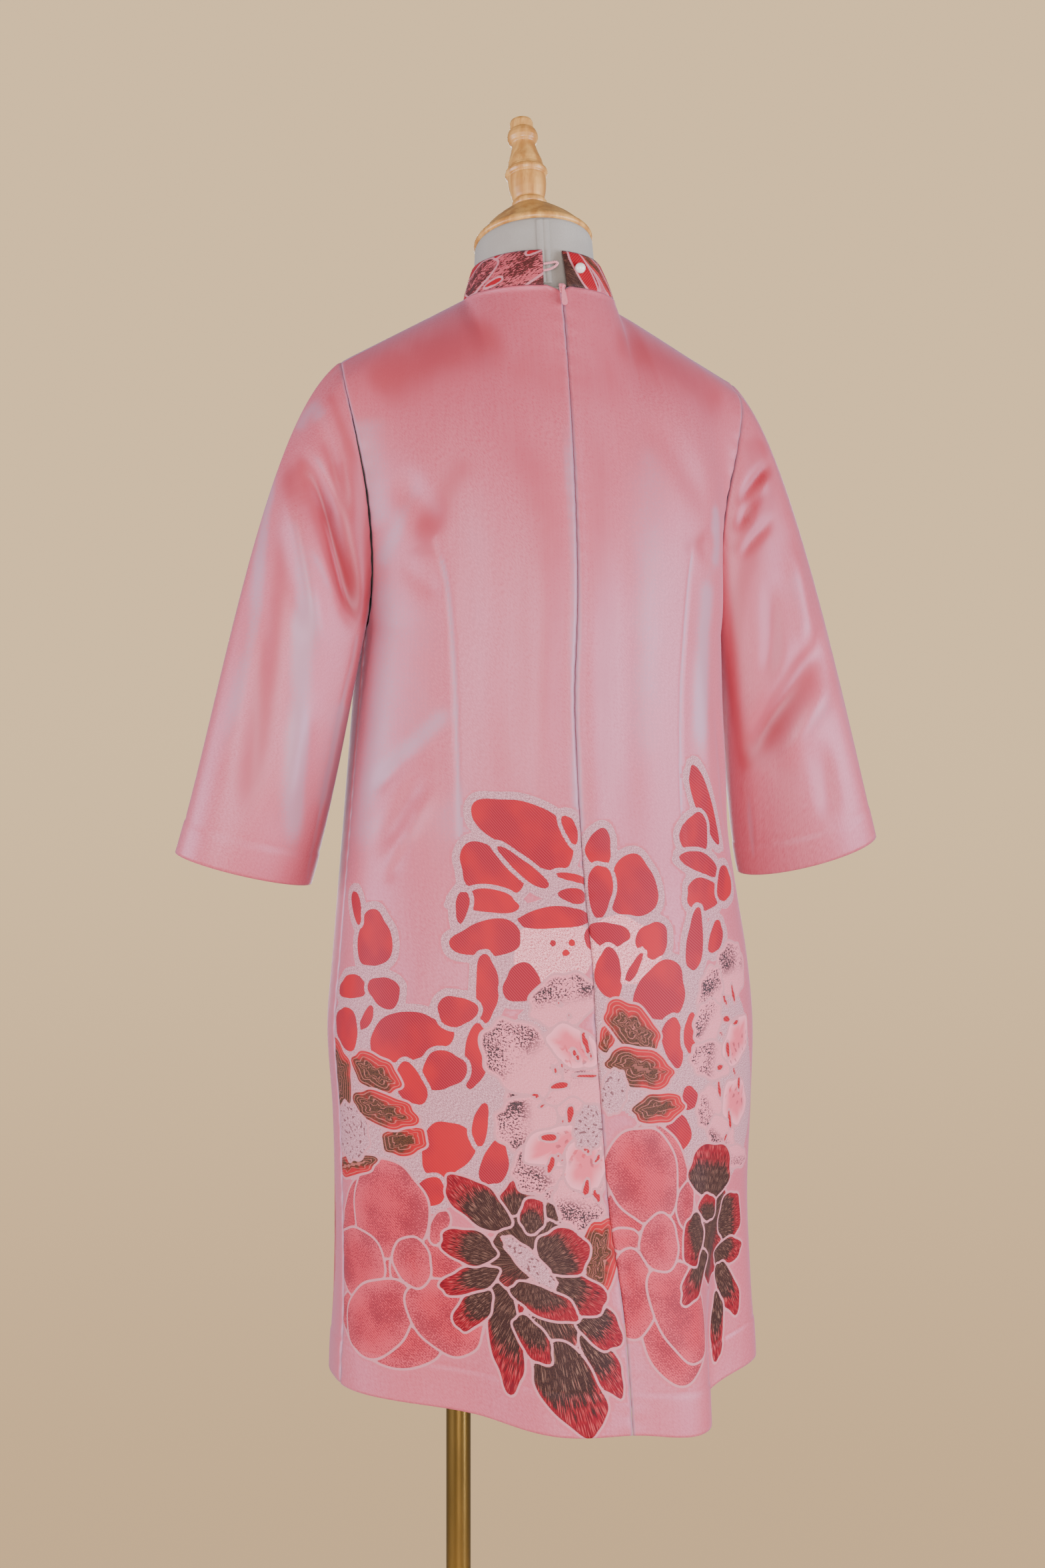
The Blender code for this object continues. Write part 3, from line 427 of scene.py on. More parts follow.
# Seams, hems and darts
SEAM_DIP = 0.0007
SEAM_ROLL = 0.0014
PUCKER = 0.00035
PUCKER_LENGTH = 0.017
PUCKER_BEAT = 21.0
PUCKER_REACH = 0.011
HEM_DEPTH = 0.034
HEM_STEP = 0.0006
HEM_STEP_RUN = 0.002
HEM_STITCH_DIP = 0.0005
HEM_STITCH_WIDTH = 0.0016
ZIP_RIDGE = 0.0008
ZIP_RIDGE_PLACE = 0.0038
ZIP_RIDGE_WIDTH = 0.0022
ZIP_RIDGE_BOTTOM = 1.05
ZIP_RIDGE_FADE = 0.03
CUFF_HEM_DEPTH = 0.028
SLEEVE_DEPTH = 1.35
BODY_DEPTH = 1.25
SLEEVE_TURN_IN = 0.0016
SLEEVE_TUCK = 0.0021
# Painted highlights in lilac along the panels' seams, the sleeves' armholes and seams, and the darts
SEAM_HIGHLIGHT = 1.3
SEAM_HIGHLIGHT_WIDTH = 0.0020
SLEEVE_SEAM_HIGHLIGHT = 0.7
DART_HIGHLIGHT = 0.8
DART_WIDTH = 0.0016
DART_DIP = -0.0011
DART_FADE = 0.08
DART_PUFF = 0.0010
DART_PUFF_WIDTH = 0.010
DART_PUFF_FADE = 0.3
COLLAR_ROLL = -0.0007
COLLAR_ROLL_WIDTH = 0.0016
COLLAR_BELLY = 0.0008
COLLAR_QUILT = 0.0003
COLLAR_QUILT_LENGTH = 0.031

# Folds of the cloth, in millimetres about the figure's centre line: the course, the half width and how far
# the fold stands out, above zero a soft ridge and below zero a trough.
FOLD_FADE = 0.35
BODY_FOLDS = (
    (((125, 82, 1064), (145, 74, 1026), (164, 61, 988)), 9, -2.2),
    (((118, 86, 1052), (138, 80, 1012), (158, 68, 972)), 8, 1.8),
    (((136, 83, 1010), (148, 79, 988), (156, 75, 966)), 6, -1.4),
    (((130, 84, 1090), (150, 68, 1062), (166, 50, 1040)), 8, -1.4),
    (((108, 86, 1205), (132, 78, 1218), (150, 64, 1240)), 8, -1.6),
    (((112, 84, 1252), (130, 76, 1282), (150, 60, 1306)), 14, -3),
    (((-4, 110, 1290), (-10, 107, 1092), (-14, 122, 960)), 13, 1.6),
    (((-36, 104, 1300), (-42, 104, 1120), (-46, 118, 970)), 16, -2.2),
    (((30, 100, 1340), (34, 106, 1160), (36, 116, 1000)), 15, 1.8),
    (((58, 98, 1310), (60, 100, 1140), (62, 108, 1000)), 17, -1.8),
    (((-62, 94, 1380), (-96, 86, 1330), (-126, 74, 1270)), 16, -2.2),
    (((-112, 86, 1240), (-128, 80, 1258), (-146, 66, 1276)), 8, -1.8),
    (((-118, 84, 1180), (-128, 82, 1090), (-134, 88, 990)), 10, 1.6),
    (((-142, 66, 1140), (-150, 62, 1060), (-158, 64, 980)), 9, -2.2),
    (((60, 112, 860), (74, 112, 720), (80, 110, 580)), 20, -2.4),
    (((-40, 130, 820), (-52, 134, 690), (-60, 138, 560)), 17, 2.2),
    (((-90, 120, 800), (-104, 120, 680), (-116, 118, 560)), 13, -2.2),
    (((122, 96, 940), (134, 86, 850), (136, 80, 760)), 13, 2),
    (((136, -60, 1200), (110, -110, 1222), (86, -134, 1236)), 10, -2),
    (((-136, -60, 1196), (-112, -108, 1216), (-88, -132, 1232)), 10, -1.8),
    (((30, -146, 1190), (36, -138, 1080), (42, -142, 960)), 17, -2.2),
    (((-22, -146, 1180), (-30, -138, 1070), (-34, -142, 950)), 18, 2),
    (((118, -104, 1110), (128, -96, 1020), (120, -108, 930)), 12, -1.8),
    (((-124, -98, 1100), (-132, -92, 1010), (-126, -104, 920)), 12, 1.8),
    (((16, -148, 860), (20, -150, 720), (26, -154, 570)), 19, 2.6),
    (((-70, -138, 840), (-80, -136, 700), (-88, -136, 570)), 17, -2.6),
    (((96, -124, 830), (104, -122, 700), (112, -118, 580)), 15, 2),
    (((110, -66, 1392), (88, -98, 1350), (70, -124, 1290)), 13, 1.8),
    (((-112, -64, 1390), (-92, -96, 1346), (-74, -122, 1286)), 13, -1.8),
)

SLEEVE_FOLDS = {
    1: (
        (((218, 20, 1330), (205, 43, 1289), (192, 48, 1245), (179, 43, 1202), (172, 37, 1172)), 10, -8.4),
        (((232, 18, 1318), (224, 42, 1262), (214, 48, 1206), (204, 44, 1150)), 10.5, 5.2),
        (((201, 27, 1358), (193, 43, 1312), (180, 47, 1262)), 6.5, -2.6),
        (((246, 26, 1240), (252, 36, 1160), (258, 38, 1080), (266, 36, 1010)), 12, -3),
        (((216, 42, 1130), (224, 36, 1070), (230, 30, 1010)), 11, 3),
        (((240, -40, 1260), (222, -50, 1190), (206, -48, 1120)), 11, -4.2),
        (((262, -40, 1180), (262, -48, 1090), (270, -46, 1010)), 11, 3.2),
        (((200, -30, 1340), (192, -46, 1290), (180, -50, 1240)), 8, -2.8),
    ),
    -1: (
        (((-166, 45, 1268), (-178, 46, 1292), (-197, 40, 1318)), 5.2, -2.8),
        (((-166, 45, 1291), (-183, 44, 1314), (-208, 28, 1337)), 5, -2.4),
        (((-168, 46, 1246), (-184, 46, 1266), (-204, 42, 1284)), 4.8, -2.2),
        (((-170, 44, 1281), (-186, 45, 1303), (-206, 36, 1326)), 4.5, 1.8),
        (((-262, 22, 1188), (-230, 43, 1148), (-200, 34, 1100), (-187, 16, 1062)), 12.5, -4.8),
        (((-266, 24, 1150), (-236, 43, 1108), (-210, 36, 1062)), 12, 3.6),
        (((-216, 40, 1270), (-228, 42, 1212), (-238, 42, 1156)), 11, 3.4),
        (((-248, 40, 1094), (-256, 38, 1050), (-264, 35, 1010)), 11, -2.8),
        (((-196, 46, 1236), (-200, 46, 1180), (-196, 40, 1130)), 9, -2.6),
        (((-244, -40, 1250), (-226, -50, 1180), (-212, -48, 1110)), 11, -4),
        (((-266, -40, 1170), (-268, -48, 1090), (-276, -46, 1020)), 11, 3),
    ),
}

# Strokes of painted shade and sheen on the satin, in millimetres: the course, the half width, and the
# strength, above zero coral painted shade and below zero lilac painted sheen and highlight.
STROKE_FADE = 0.2
STROKE_START = 0.35
# How deep a fold's trough is for full painted shade, and the way that picks the flanks for painted shade
# (facing up) or painted sheen (facing down).
TROUGH_SHADE_DEPTH = 0.0090
SHADED_FLANK_WAY = (-0.5, 0.0, 1.6)
BODY_PAINTED_LIGHT = (
    (((160, 30, 1375), (110, 42, 1405), (55, 52, 1440)), 30, 1.1),
    (((-155, 30, 1375), (-100, 42, 1408), (-50, 55, 1440)), 30, 1),
    (((50, 70, 1400), (0, 80, 1385), (-50, 72, 1395)), 32, 0.55),
    (((166, 42, 1356), (163, 46, 1310), (156, 50, 1260)), 17, -0.8),
    (((158, 48, 1230), (158, 50, 1150), (162, 47, 1060), (166, 42, 990)), 20, -1),
    (((92, 92, 1320), (116, 82, 1272), (127, 76, 1243)), 12, 0.95),
    (((112, 85, 1236), (127, 77, 1241), (140, 68, 1238)), 5, 0.7),
    (((156, 46, 1230), (142, 62, 1262), (130, 72, 1296)), 9, -0.8),
    (((58, 90, 1360), (30, 102, 1273), (30, 108, 1180), (32, 110, 1070)), 19, 0.6),
    (((7, 91, 1350), (7, 105, 1250), (6, 110, 1120), (4, 111, 1000)), 5, -0.9),
    (((-21, 91, 1345), (-19, 100, 1240), (-17, 108, 1150), (-17, 110, 1040)), 12, 0.6),
    (((-72, 82, 1350), (-62, 95, 1260), (-56, 102, 1160), (-55, 106, 1060)), 19, -0.6),
    (((94, 86, 1300), (82, 95, 1220), (75, 100, 1100)), 16, -0.2),
    (((-97, 93, 1246), (-110, 87, 1254), (-124, 80, 1262)), 7, 0.8),
    (((-136, 70, 1290), (-138, 68, 1262), (-134, 72, 1235)), 9, -1.2),
    (((-126, 78, 1225), (-122, 79, 1170), (-116, 83, 1080)), 11, -1.3),
    (((165, 45, 1046), (138, 72, 1078), (106, 88, 1110)), 8, -0.9),
    (((165, 45, 1020), (140, 70, 1046), (110, 87, 1072)), 7, 0.45),
    (((136, 72, 1200), (130, 78, 1130), (134, 74, 1090)), 18, -0.35),
    (((120, 88, 1030), (80, 102, 1010), (40, 112, 1030)), 26, -0.55),
    (((-30, 112, 990), (-45, 112, 960), (-50, 114, 900)), 20, -0.5),
    (((150, -40, 1385), (110, -80, 1370), (70, -110, 1350)), 28, 0.9),
    (((-150, -40, 1385), (-110, -80, 1368), (-70, -110, 1345)), 26, 0.75),
    (((4, -120, 1380), (10, -146, 1260), (-6, -142, 1100), (-4, -142, 1000)), 20, 0.55),
    (((74, -136, 1290), (78, -138, 1220), (60, -134, 1120)), 22, -0.75),
    (((-66, -138, 1290), (-78, -138, 1210), (-66, -134, 1090)), 20, -0.65),
    (((130, -80, 1220), (110, -110, 1238), (88, -132, 1250)), 9, 0.7),
    (((-130, -80, 1212), (-112, -108, 1230), (-90, -130, 1246)), 9, 0.6),
    (((146, -60, 1160), (140, -80, 1060), (146, -70, 960)), 16, -0.6),
    (((-146, -60, 1160), (-140, -80, 1060), (-146, -70, 960)), 16, 0.5),
)
SLEEVE_PAINTED_LIGHT = {
    1: (
        (((217.6, 29, 1320), (204.5, 43, 1290.6), (191.6, 48, 1248.4), (176, 43, 1210),
          (166.4, 35, 1187)), 6, 2),
        (((186, 43, 1318), (180, 45, 1275), (172, 44, 1228), (166, 37, 1194)), 12, 2.2),
        (((224.5, 20, 1320.8), (233.6, 39, 1241.4), (243.1, 41, 1171), (250.2, 41, 1101.7),
          (265.1, 35, 1032)), 10, 0.9),
        (((236, 8, 1320), (250, 24, 1242.3), (259.3, 34, 1171.2), (280, 28, 1080)), 8, -1.1),
        (((221.2, 45, 1195.8), (220.7, 43, 1136.4), (222.2, 35, 1067), (222, 19, 996.3)), 10, -1.3),
        (((210.7, 46, 1241.4), (192.9, 46, 1206.8), (172.7, 38, 1179.8)), 5, -1.1),
        (((217.7, 14, 1342.9), (206, 18, 1362), (198, 30, 1352)), 10, -0.9),
        (((192.7, 24, 1374.9), (184.1, 40, 1340.8), (174.4, 44, 1312.6)), 5.5, 1),
        (((208, 34, 1322), (196, 44, 1300), (186, 47, 1268)), 4, -0.9),
        (((181.4, 29, 1119.8), (188, 22, 1080), (195.8, 11, 1028.3)), 12, -0.8),
        (((290, 10, 1066), (282, 30, 1056)), 6, 0.6),
        (((240, -44, 1250), (225, -50, 1170), (215, -48, 1090)), 12, 0.9),
        (((258, -32, 1220), (262, -45, 1110), (270, -40, 1010)), 11, -1),
        (((198, -40, 1310), (188, -50, 1240)), 10, 0.7),
        (((196, -46, 1170), (198, -40, 1080), (206, -30, 1010)), 10, -0.7),
    ),
    -1: (
        (((-187.7, 34, 1356.6), (-190, 43, 1312.1), (-180, 46, 1265)), 14, 1.3),
        (((-166.5, 45, 1294.3), (-180, 44, 1312), (-197.3, 37, 1329.7)), 4, 1.1),
        (((-160.3, 44, 1272.2), (-178, 45, 1290), (-194.9, 43, 1305.6)), 4, 1),
        (((-168, 45, 1284), (-186, 44, 1303), (-205, 34, 1320)), 3, -0.48),
        (((-160, 44, 1252), (-172, 46, 1262), (-184, 46, 1276)), 5, 0.8),
        (((-186, 47, 1262), (-172.2, 45, 1227.7), (-167.5, 38, 1188), (-170.5, 25.5, 1138.5),
          (-179.7, 19, 1094.7), (-187.2, 15, 1064.8)), 8, 1),
        (((-250.9, 34, 1193.6), (-220.6, 43, 1144.9), (-199, 33, 1101.6), (-185.3, 10, 1061.2)), 7, 0.9),
        (((-222, 40, 1240), (-206, 46, 1190), (-188, 40, 1130)), 11, -0.21),
        (((-200, 40, 1320), (-200, 45, 1240), (-215, 44, 1160), (-235, 40, 1040)), 30, 0.5),
        (((-214, 18, 1336), (-245, 20, 1230), (-268, 26, 1150), (-292, 22, 1050)), 9, -0.6),
        (((-250, 40, 1120), (-240, 40, 1070), (-250, 35, 1020)), 18, -0.27),
        (((-215, 42, 1090), (-225, 38, 1040), (-230, 34, 1010)), 12, 0.4),
        (((-244, -44, 1240), (-228, -50, 1160), (-220, -48, 1080)), 12, 0.85),
        (((-262, -32, 1210), (-268, -45, 1110), (-278, -40, 1020)), 11, -0.57),
        (((-200, -40, 1300), (-192, -50, 1230)), 10, 0.65),
        (((-198, -46, 1160), (-200, -40, 1080), (-208, -30, 1020)), 10, -0.42),
    ),
}

# The courses of the darts and of the sleeves' seams, in millimetres
DARTS = (
    ((117, 82, 1250), (108, 87, 1211), (102.5, 89, 1140), (101, 92, 1070), (100.8, 102, 994),
     (97.5, 112, 930)),
    ((-107, 88, 1249), (-101, 91, 1207), (-96, 91, 1143), (-94.4, 91, 1080), (-94, 95, 1031),
     (-95.4, 102, 983), (-94, 112, 905)),
    ((86, -134, 1190), (88, -126, 1120), (90, -122, 1050), (89, -128, 970), (86, -134, 910)),
    ((-86, -134, 1190), (-88, -126, 1120), (-90, -122, 1050), (-89, -128, 970), (-86, -134, 910)),
)
SLEEVE_SEAMS = {
    1: ((171, 36, 1172), (174.5, 34, 1150), (178.7, 32, 1137), (185, 28, 1109), (191, 21, 1071),
        (195.4, 16, 1045), (199.7, 8, 1011.5), (203, 3, 992), (205.5, -4, 972)),
    -1: ((-170, 30, 1160), (-180, 24, 1120), (-189, 14, 1070), (-197, 4, 1020), (-203, -4, 985)),
}


def course(points, count=28):
    """A smooth line of points in metres, through a few in millimetres."""
    keys = np.arange(len(points), dtype=float)
    line = np.array(points, float) / PER_METRE
    return through(np.column_stack([keys, line]), np.linspace(0, len(points) - 1, count))


def from_line(points, line):
    """Each point's distance to a line of points, and how far along it that is, from 0 to 1."""
    flat = points.reshape(-1, 3)
    starts, steps = line[:-1], line[1:] - line[:-1]
    best = np.full(len(flat), np.inf)
    along = np.zeros(len(flat))
    for index, (start, step) in enumerate(zip(starts, steps)):
        share = np.clip((flat - start) @ step / (step @ step), 0, 1)
        gap = np.linalg.norm(flat - start - share[:, None] * step, axis=1)
        nearer = gap < best
        best[nearer] = gap[nearer]
        along[nearer] = (index + share[nearer]) / len(steps)
    return best.reshape(points.shape[:-1]), along.reshape(points.shape[:-1])


def fold_relief(points, folds):
    """How far each point of the cloth stands out for its folds, which fade at both ends."""
    total = np.zeros(points.shape[:-1])
    for line, width, reach in folds:
        gap, along = from_line(points, course(line, 12))
        total += reach / PER_METRE * bell(gap, width / PER_METRE) * faded(along, FOLD_FADE)
    return total


def painted_light_of(points, folds, strokes, ring=False):
    """Painted shade and sheen over the satin: above zero coral painted shade, below zero lilac painted
    sheen.
    A fold's trough and the flank that faces up get painted shade, the flank that faces down painted sheen."""
    total = -folds / TROUGH_SHADE_DEPTH
    for line, width, strength in strokes:
        gap, along = from_line(points, course(line, 12))
        total += strength * bell(gap, width / PER_METRE) * faded(along, STROKE_FADE, STROKE_START)
    normals = outward(points, ring)
    return total + (outward(points + normals * folds[..., None], ring) - normals) @ np.array(SHADED_FLANK_WAY)


def painted_seam_highlights(gap):
    """A painted highlight in lilac where the satin turns over a seam, from the distance to it."""
    return -SEAM_HIGHLIGHT * bell(gap, SEAM_HIGHLIGHT_WIDTH)


def body_painted_light(points, across):
    """Painted shade and sheen over a body panel, with painted highlights along its seams and darts."""
    total = painted_light_of(points, BODY_DEPTH * fold_relief(points, BODY_FOLDS), BODY_PAINTED_LIGHT)
    for line in DARTS:
        total += DART_HIGHLIGHT * painted_seam_highlights(from_line(points, course(line))[0])
    gap = np.abs(across - across[:, :1])
    return total + painted_seam_highlights(gap) + painted_seam_highlights(gap[:, -1:] - gap)


def stitched_lines(points, lines):
    """Narrow sewn grooves, such as darts, each in a wider soft swelling."""
    total = np.zeros(points.shape[:-1])
    for line in lines:
        gap, along = from_line(points, course(line))
        puff = DART_PUFF * bell(gap, DART_PUFF_WIDTH) * faded(along, DART_PUFF_FADE)
        total += DART_DIP * bell(gap, DART_WIDTH) * faded(along, DART_FADE) + puff
    return total


def lengths(points):
    """How far each point is along its row from the first column, and up its column from the first row."""
    rows = np.linalg.norm(np.diff(points, axis=1), axis=-1)
    columns = np.linalg.norm(np.diff(points, axis=0), axis=-1)
    across = np.concatenate([np.zeros((len(points), 1)), np.cumsum(rows, axis=1)], axis=1)
    up = np.concatenate([np.zeros((1, points.shape[1])), np.cumsum(columns, axis=0)], axis=0)
    return across, up


def edge_relief(gap, along, phase):
    """The dip and the slight pucker beside a sewn seam, from the distance to it and the place along it."""
    wave = np.sin(along * 2 * math.pi / PUCKER_LENGTH + phase) * np.sin(along * PUCKER_BEAT + 2 * phase)
    return -SEAM_DIP * bell(gap, SEAM_ROLL) + PUCKER * wave * bell(gap, PUCKER_REACH)


def hem_relief(up, depth):
    """The turned hem's second layer, which ends in a soft step with its stitches' groove."""
    step = HEM_STEP * ease((depth - up) / HEM_STEP_RUN + 0.5)
    return step - HEM_STITCH_DIP * bell(up - depth, HEM_STITCH_WIDTH)


def grid_mesh(name, points):
    """A flat grid of faces with these points."""
    rows, columns = points.shape[:2]
    bm = bmesh.new()
    bmesh.ops.create_grid(bm, x_segments=columns - 1, y_segments=rows - 1, size=1)
    mesh = mesh_from(bm, name)
    mesh.vertices.foreach_set("co", np.asarray(points + (BODY_X, 0, 0), np.float32).ravel())
    return mesh


def woven_faces(values):
    """1 for each face that the flowers reach, and 0 for plain satin."""
    woven = (values["blot"] > -BAND - BAND_SOFT) | (values["edge"] < OUTLINE_REACH)
    woven |= (values["veil"] > VEIL_LEAST) | (values["kind"] > 0)
    reached = woven[1:, 1:] | woven[1:, :-1] | woven[:-1, 1:] | woven[:-1, :-1]
    return reached.astype(np.int32).ravel()


def add_value(mesh, key, domain, value):
    made = mesh.attributes.new(key, "FLOAT", domain)
    made.data.foreach_set("value", np.asarray(value, np.float32).ravel())


def add_values(mesh, corners, values):
    """Named values at the mesh's points. Petals meet between points: each face has the kinds of petal on its
    two sides, and its corners have the distance to the outline, below zero on the second side."""
    for key, value in values.items():
        if key not in ("edge", "kind", "owner"):
            add_value(mesh, key, "POINT", value)
    if "owner" not in values:
        return
    owner, kind, edge = (values[key].ravel()[corners].reshape(-1, 4) for key in ("owner", "kind", "edge"))
    other = owner != owner[:, :1]
    add_value(mesh, "edge", "CORNER", np.where(other, -edge, edge))
    add_value(mesh, "kind_a", "FACE", kind[:, 0])
    second = np.take_along_axis(kind, np.argmax(other, axis=1)[:, None], axis=1)
    add_value(mesh, "kind_b", "FACE", second)


def linked(name, data):
    """A new object in the scene, at the origin."""
    made = bpy.data.objects.new(name, data)
    bpy.context.scene.collection.objects.link(made)
    return made


def mesh_from(bm, name):
    """The worked mesh under this name."""
    mesh = bpy.data.meshes.new(name)
    bm.to_mesh(mesh)
    bm.free()
    return mesh


def finished(name, mesh, finishes, node=None):
    """A piece with its finishes, which rides with the dress and stands for the node."""
    piece = linked(name, mesh)
    mesh.materials.clear()
    for finish in finishes:
        mesh.materials.append(finish)
    mesh.shade_smooth()
    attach(piece, DRESS)
    if node:
        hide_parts(node)
    return piece


def thickened(piece, thickness):
    """A wall that grows inwards from the piece's surface."""
    wall = piece.modifiers.new("thickness", "SOLIDIFY")
    wall.thickness = thickness
    wall.offset = -1
    return wall


def cloth_piece(node, points, across, up, finishes, values=None, ring=False):
    """A fine shell of cloth in place of the node, with its own flat map in metres, and named values at its
    points. The last finish is for its reverse."""
    mesh = grid_mesh(node + "_cloth", points)
    corners = np.empty(len(mesh.loops), np.int32)
    mesh.loops.foreach_get("vertex_index", corners)
    flat = np.stack([across, up], axis=-1).reshape(-1, 2)[corners]
    mesh.uv_layers.new(name="cloth").uv.foreach_set("vector", flat.astype(np.float32).ravel())
    add_values(mesh, corners, values or {})
    if ring:
        bm = bmesh.new()
        bm.from_mesh(mesh)
        bmesh.ops.remove_doubles(bm, verts=bm.verts[:], dist=1e-6)
        bm.to_mesh(mesh)
        bm.free()
    piece = finished(node + "_cloth", mesh, finishes, node)
    if "blot" in (values or {}):
        mesh.polygons.foreach_set("material_index", woven_faces(values))
    wall = thickened(piece, THICKNESS.get(node, CLOTH_THICKNESS))
    wall.material_offset = len(finishes) - 1
    wall.material_offset_rim = 0
    return piece


def row_places(flower_pitch, plain_pitch):
    """The rows' heights below the armpits, closer where flowers are woven, and their rises above."""
    flowers = np.arange(HEM_HEIGHT, FLOWER_TOP, flower_pitch)
    plain = np.arange(FLOWER_TOP, ARMPIT_HEIGHT - plain_pitch / 2, plain_pitch)
    return np.concatenate([flowers, plain]), np.linspace(0, 1, round(YOKE_LENGTH / plain_pitch) + 1)


def panel_points(side, back, columns, pitches):
    """A quarter of the dress, from the hem to the top and from the centre to the side."""
    heights, rises = row_places(*pitches)
    around = np.linspace(0, 1, columns)[None, :]
    low = lower_body(side, back, around + 0 * heights[:, None], heights[:, None] + 0 * around)
    high = yoke(side, back, around, rises[:, None])
    if back:
        high = opened_neck(high, side, around, rises[:, None])
    return np.concatenate([low, high])


def drawn_in(points):
    """The outermost points moved half a seam's gap towards the next ones."""
    moved = points.copy()
    for edge, beside in ((np.s_[:, 0], np.s_[:, 1]), (np.s_[:, -1], np.s_[:, -2]), (np.s_[-1], np.s_[-2])):
        moved[edge] += unit(points[beside] - points[edge]) * SEAM_GAP / 2
    return moved


def sewn_relief(points, across, up):
    """Folds, darts, the seams at both sides and the hem, for a body panel."""
    total = BODY_DEPTH * fold_relief(points, BODY_FOLDS) + stitched_lines(points, DARTS)
    total += edge_relief(across, up, 0.7) + edge_relief(across[:, -1:] - across, up, 2.1)
    return total + hem_relief(up, HEM_DEPTH)


def add_back_panels(finishes):
    columns = round(BACK_GIRTH / FLOWER_PITCH)
    for name, side in (("back_left", 1), ("back_right", -1)):
        points = panel_points(side, True, columns, (FLOWER_PITCH, PLAIN_PITCH))
        across, up = lengths(points)
        girth = across * side
        if side > 0:
            points, across, up, girth = (part[:, ::-1] for part in (points, across, up, girth))
        relief = sewn_relief(points, across if side < 0 else across[:, :1] - across, up)
        ridge = ZIP_RIDGE * bell(np.abs(girth) - ZIP_RIDGE_PLACE, ZIP_RIDGE_WIDTH)
        ridge = ridge * ease((points[..., 2] - ZIP_RIDGE_BOTTOM) / ZIP_RIDGE_FADE)
        points = drawn_in(points)
        shaped = points + outward(points) * (relief + ridge)[..., None]
        values = pattern(girth, points[..., 2], BACK_BLOOMS, side)
        values["shot_and_painted_light"] = body_painted_light(points, girth)
        cloth_piece(name, shaped, girth, up, finishes, values)


def add_front(finishes):
    columns = round(BACK_GIRTH / FRONT_PITCH)
    right = panel_points(-1, False, columns, (FRONT_PITCH, PLAIN_PITCH))
    left = panel_points(1, False, columns, (FRONT_PITCH, PLAIN_PITCH))
    points = np.concatenate([right[:, :0:-1], left], axis=1)
    across, up = lengths(points)
    girth = across[:, columns - 1: columns] - across
    relief = sewn_relief(points, across, up)
    points = drawn_in(points)
    shaped = points + outward(points) * relief[..., None]
    values = pattern(girth, points[..., 2], BACK_BLOOMS, 0)
    values["shot_and_painted_light"] = body_painted_light(points, girth)
    cloth_piece("front", shaped, girth, up, finishes, values)


def armhole_loop(side, rises):
    """The armhole, from the shoulder tip down the back to the armpit and up the front, off the panels."""
    loop, away = [], []
    for back in (True, False):
        edge = yoke(side, back, 1.0, rises)
        step = edge - yoke(side, back, 0.97, rises)
        order = slice(None, None, -1) if back else slice(1, None)
        loop.append(edge[order])
        away.append(unit(step)[order])
    loop, away = np.concatenate(loop), np.concatenate(away)
    low = ease((UNDERARM_TOP - loop[:, 2]) / (UNDERARM_TOP - ARMPIT_HEIGHT))[:, None]
    lift = np.array([side, 0.0, UNDERARM_RISE]) * UNDERARM_LIFT
    return loop + away * SLEEVE_GAP * (1 - low) + lift * low


def sleeve_points(side):
    """The sleeve from its armhole to its cuff, all round."""
    half = SLEEVE_COLUMNS // 2
    rises = np.interp(np.linspace(0, len(RISES) - 1, half + 1), np.arange(len(RISES)), RISES)
    loop = armhole_loop(side, rises)
    angle = np.linspace(0, 2 * math.pi, len(loop))
    outer, rear = np.cos(angle)[:, None], np.sin(angle)[:, None]
    wide, deep, down = cuff_frame(side)
    rear_way = deep if deep[1] > 0 else -deep
    cuff = np.array(CUFF_CENTRE[side]) + CUFF_HALF_WIDTH * outer * wide + CUFF_HALF_DEPTH * rear * rear_way
    top = (1 + outer) / 2
    reach = UNDERARM_REACH + (CAP_REACH[side] - UNDERARM_REACH) * top**2
    out = SLEEVE_LEAN + (CAP_LEAN - SLEEVE_LEAN) * top**CAP_LEAN_RISE
    swing = SIDE_SWING * rear * (1 - top * SWING_FADE)
    lead = np.concatenate([side * out, swing, -np.sqrt(1 - out**2)], axis=1) * reach
    arrive = down * (CUFF_REACH_LOW + (CUFF_REACH_TOP - CUFF_REACH_LOW) * top)
    t = np.linspace(0, 1, round(SLEEVE_LENGTH / SLEEVE_PITCH))[:, None, None]
    grid = hermite(loop[None], cuff[None], lead[None], arrive[None], t)
    grid[:, -1] = grid[:, 0]
    return grid


def turned_in(points, normals, across, up, shot_and_painted_light):
    """The sleeve with one more row, which turns in at the armhole and lies under the body's edge."""
    fold = points[:1] - normals[:1] * SLEEVE_TURN_IN - unit(points[1:2] - points[:1]) * SLEEVE_TUCK
    parts = (points, fold), (across, across[:1]), (up, up[:1] - SLEEVE_TURN_IN), (shot_and_painted_light, shot_and_painted_light[:1])
    return [np.concatenate([extra, part]) for part, extra in parts]


